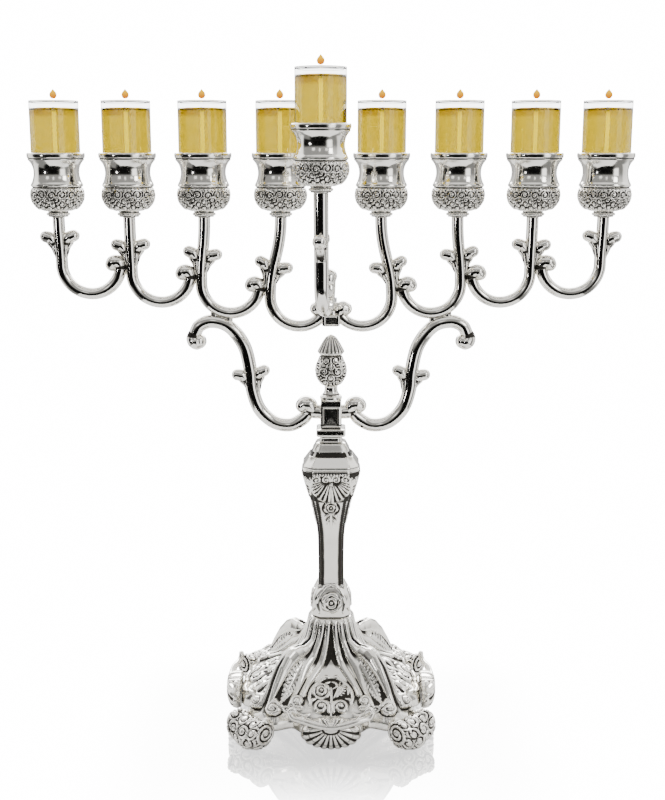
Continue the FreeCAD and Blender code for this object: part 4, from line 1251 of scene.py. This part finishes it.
def make_lights():
    cup, collar = make_cup(), make_collar()
    glass = lathe(GLASS_OUTSIDE + GLASS_INSIDE, 0.5, 96)

    # Painted shade: the oil darkens to amber in a band just under its surface, unevenly round it.
    def painted_surface_shade(turn, levels, radii):
        return 0 * levels, 0.75 * smooth_step(52.8, 55.2, levels) * (0.7 + 0.3 * np.cos(3 * turn))

    oil = lathe(OIL_OUTLINE, 0.6, 96, painted_surface_shade)
    wick, flame = make_wick(), make_flame()
    collars = []
    for number, (name, body) in enumerate(light_bodies()):
        low, _ = node_box(f"cup_{name}")
        centre = node_axis(f"cup_{name}")
        spot = (centre[0], centre[1], low[2])
        turn = 37.0 * number
        light = f"oil_light_{name}"
        finish_piece(f"bell_cup_{name}", moved(cup, spot, turn), silver_cups, body,
                     [f"cup_{name}"])
        finish_piece(f"oil_glass_{name}", moved(glass, spot), oil_glass, light,
                     [f"glass_{name}"])
        finish_piece(f"lamp_oil_{name}", moved(oil, spot), oil_liquid, light, [f"oil_{name}"])
        finish_piece(f"cotton_wick_{name}", moved(wick, spot, turn), wick_cotton, light,
                     [f"wick_{name}"])
        finish_piece(f"flame_{name}", moved(flame, spot), flame_light, light)
        under = (spot[0], spot[1], spot[2] - COLLAR_HEIGHT)
        if name == "shamash":
            finish_piece("servant_collar", moved(collar, under), silver_cups, body,
                         ["shamash_collar"])
        else:
            collars.append(moved(collar, under))
    finish_piece("row_collars", join(collars), silver_cups, "stand", ["cup_collars"])


# ---------------------------------------------------------------- build


make_base()
make_feet()
make_shells()
make_column()
make_cap()
make_block()
make_finial()
make_hub()
make_branches()
make_lower_arms()
make_shamash_arm()
make_lights()
for hardware in ("tie_rod", "base_nut", "base_washer", "shamash_pivot_screw"):
    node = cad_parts[hardware]
    node.data.materials.clear()
    node.data.materials.append(zinc_steel)


# ---------------------------------------------------------------- camera and light

BACKDROP = 16.0
CAMERA_ASIDE = 0.0009
CAMERA_BACK = 0.708
CAMERA_HEIGHT = 0.350
CAMERA_PITCH = 11.8
SENSOR_HEIGHT = 24.0
LENS = 36.0


def make_camera():
    data = bpy.data.cameras.new("camera")
    data.sensor_fit = "VERTICAL"
    data.sensor_height = SENSOR_HEIGHT
    data.lens = LENS
    camera = bpy.data.objects.new("camera", data)
    camera.location = (CAMERA_ASIDE, -CAMERA_BACK, CAMERA_HEIGHT)
    camera.rotation_euler = (math.radians(90 - CAMERA_PITCH), 0, 0)
    bpy.context.scene.collection.objects.link(camera)
    bpy.context.scene.camera = camera


def make_floor():
    """Glossy white table whose mirror image fades towards the camera."""
    bpy.ops.mesh.primitive_plane_add(size=1.0, location=(0, 0.1, 0))
    floor = bpy.context.object
    floor.name = "floor"
    floor.scale = (0.64, 0.92, 1.0)
    material, graph, shader = new_material("floor_white")
    graph.feed(shader, {"Base Color": (0.9, 0.9, 0.9), "Roughness": 0.5})
    x, y, _ = graph.split(graph.add("NewGeometry", {}, "Position"))
    # It is plain white behind the object too, and past the feet on either side
    fade = graph.ramp(y, -0.20, -0.06, 0.0, 0.91)
    behind = graph.ramp(y, 0.09, 0.03)
    beside = graph.ramp(graph.maths("ABSOLUTE", x), 0.15, 0.085)
    share = graph.maths("MULTIPLY", fade, graph.maths("MULTIPLY", behind, beside))
    glow = graph.add("Emission", {"Strength": BACKDROP})
    mirror = graph.add("BsdfGlossy", {"Roughness": 0.015})
    table = graph.add("MixShader", {0: share, 1: glow, 2: mirror})
    direct = graph.add("LightPath", {}, "Is Camera Ray")
    seen = graph.add("MixShader", {0: direct, 1: shader.outputs[0], 2: table})
    graph.feed(material.node_tree.nodes["Material Output"], {"Surface": seen})
    floor.data.materials.append(material)


def make_world():
    """White studio; the polished plate also sees a dark room to the left of the camera."""
    world = bpy.data.worlds.new("studio")
    bpy.context.scene.world = world
    world.use_nodes = True
    graph = Graph(world.node_tree)
    band, maths = graph.ramp, graph.maths
    x, y, z = graph.split(graph.add("TexCoord", {}, "Generated"))
    # Azimuth in radians from straight at the camera, positive to the left
    azimuth = maths("ARCTAN2", maths("MULTIPLY", x, -1.0), maths("MULTIPLY", y, -1.0))

    def pane(low, high, soft, bottom, top, soft_z):
        sides = maths("MULTIPLY", band(azimuth, low - soft, low + soft),
                      band(azimuth, high + soft, high - soft))
        ends = maths("MULTIPLY", band(z, bottom - soft_z, bottom + soft_z),
                     band(z, top + soft_z, top - soft_z))
        return maths("MULTIPLY", sides, ends)

    def raised(base, mask, amount):
        return maths("ADD", base, maths("MULTIPLY", mask, amount))

    # Dim surroundings, paler overhead and behind the object
    level = band(z, -0.1, 0.8, 0.26, 1.25)
    level = maths("ADD", level, band(y, 0.1, 0.7, 0.0, 0.42))
    # Bright walls at both sides, and a softbox just right of the camera
    level = raised(level, pane(-2.25, -1.50, 0.10, -0.6, 0.8, 0.1), 1.1)
    level = raised(level, pane(1.62, 2.20, 0.06, -0.6, 0.8, 0.1), 1.5)
    level = raised(level, pane(-0.98, -0.56, 0.07, -0.42, 0.22, 0.08), 2.3)
    # The dark room itself: black below eye level, dim above, with a few pale windows
    beside = pane(-0.45, 1.54, 0.09, -0.42, 0.70, 0.06)
    above = pane(-1.05, 1.10, 0.10, 0.30, 0.74, 0.06)
    below = pane(-0.62, 0.95, 0.16, -0.92, -0.36, 0.06)
    room = maths("MAXIMUM", beside, maths("MAXIMUM", above, below))
    dim = band(z, 0.02, 0.30, 0.004, 0.36)
    dim = raised(dim, pane(0.50, 0.74, 0.03, 0.30, 0.44, 0.02), 1.6)
    dim = raised(dim, pane(0.02, 0.14, 0.03, 0.36, 0.50, 0.02), 1.6)
    dim = raised(dim, pane(-0.62, -0.40, 0.03, 0.34, 0.46, 0.02), 1.4)
    level = maths("MULTIPLY", level, maths("SUBTRACT", 1.0, room))
    level = maths("ADD", level, maths("MULTIPLY", room, dim))
    # What the floor mirrors behind the object is as white as the backdrop
    sky = maths("MULTIPLY", band(z, 0.26, 0.32), band(z, 0.62, 0.56))
    level = raised(level, maths("MULTIPLY", band(y, 0.72, 0.80), sky), 15.0)
    # Through the glass the backdrop shows nearly as white as it does directly
    level = raised(level, graph.add("LightPath", {}, "Is Transmission Ray"), 6.0)
    direct = graph.add("LightPath", {}, "Is Camera Ray")
    mix = graph.add("Mix", {"Factor": direct, "A": level, "B": BACKDROP}, "Result", data_type="FLOAT")
    graph.feed(world.node_tree.nodes["Background"], {"Strength": mix, "Color": (1, 1, 1)})


def make_lights_rig():
    """Weak soft boxes: one high on the right, one low on the left."""
    rig = (
        ("key", (0.9, -0.8, 0.9), (0.0, 0.0, 0.2), 0.35, 3.0),
        ("kicker", (-1.1, -0.9, 0.25), (0.0, 0.0, 0.2), 0.12, 0.8),
    )
    for name, spot, target, side, power in rig:
        data = bpy.data.lights.new(name, "AREA")
        data.size = side
        data.energy = power
        lamp = bpy.data.objects.new(name, data)
        lamp.location = spot
        away = np.array(spot) - np.array(target)
        flat = math.hypot(away[0], away[1])
        lamp.rotation_euler = (math.atan2(flat, away[2]), 0, math.atan2(away[0], -away[1]))
        bpy.context.scene.collection.objects.link(lamp)


make_camera()
make_floor()
make_world()
make_lights_rig()
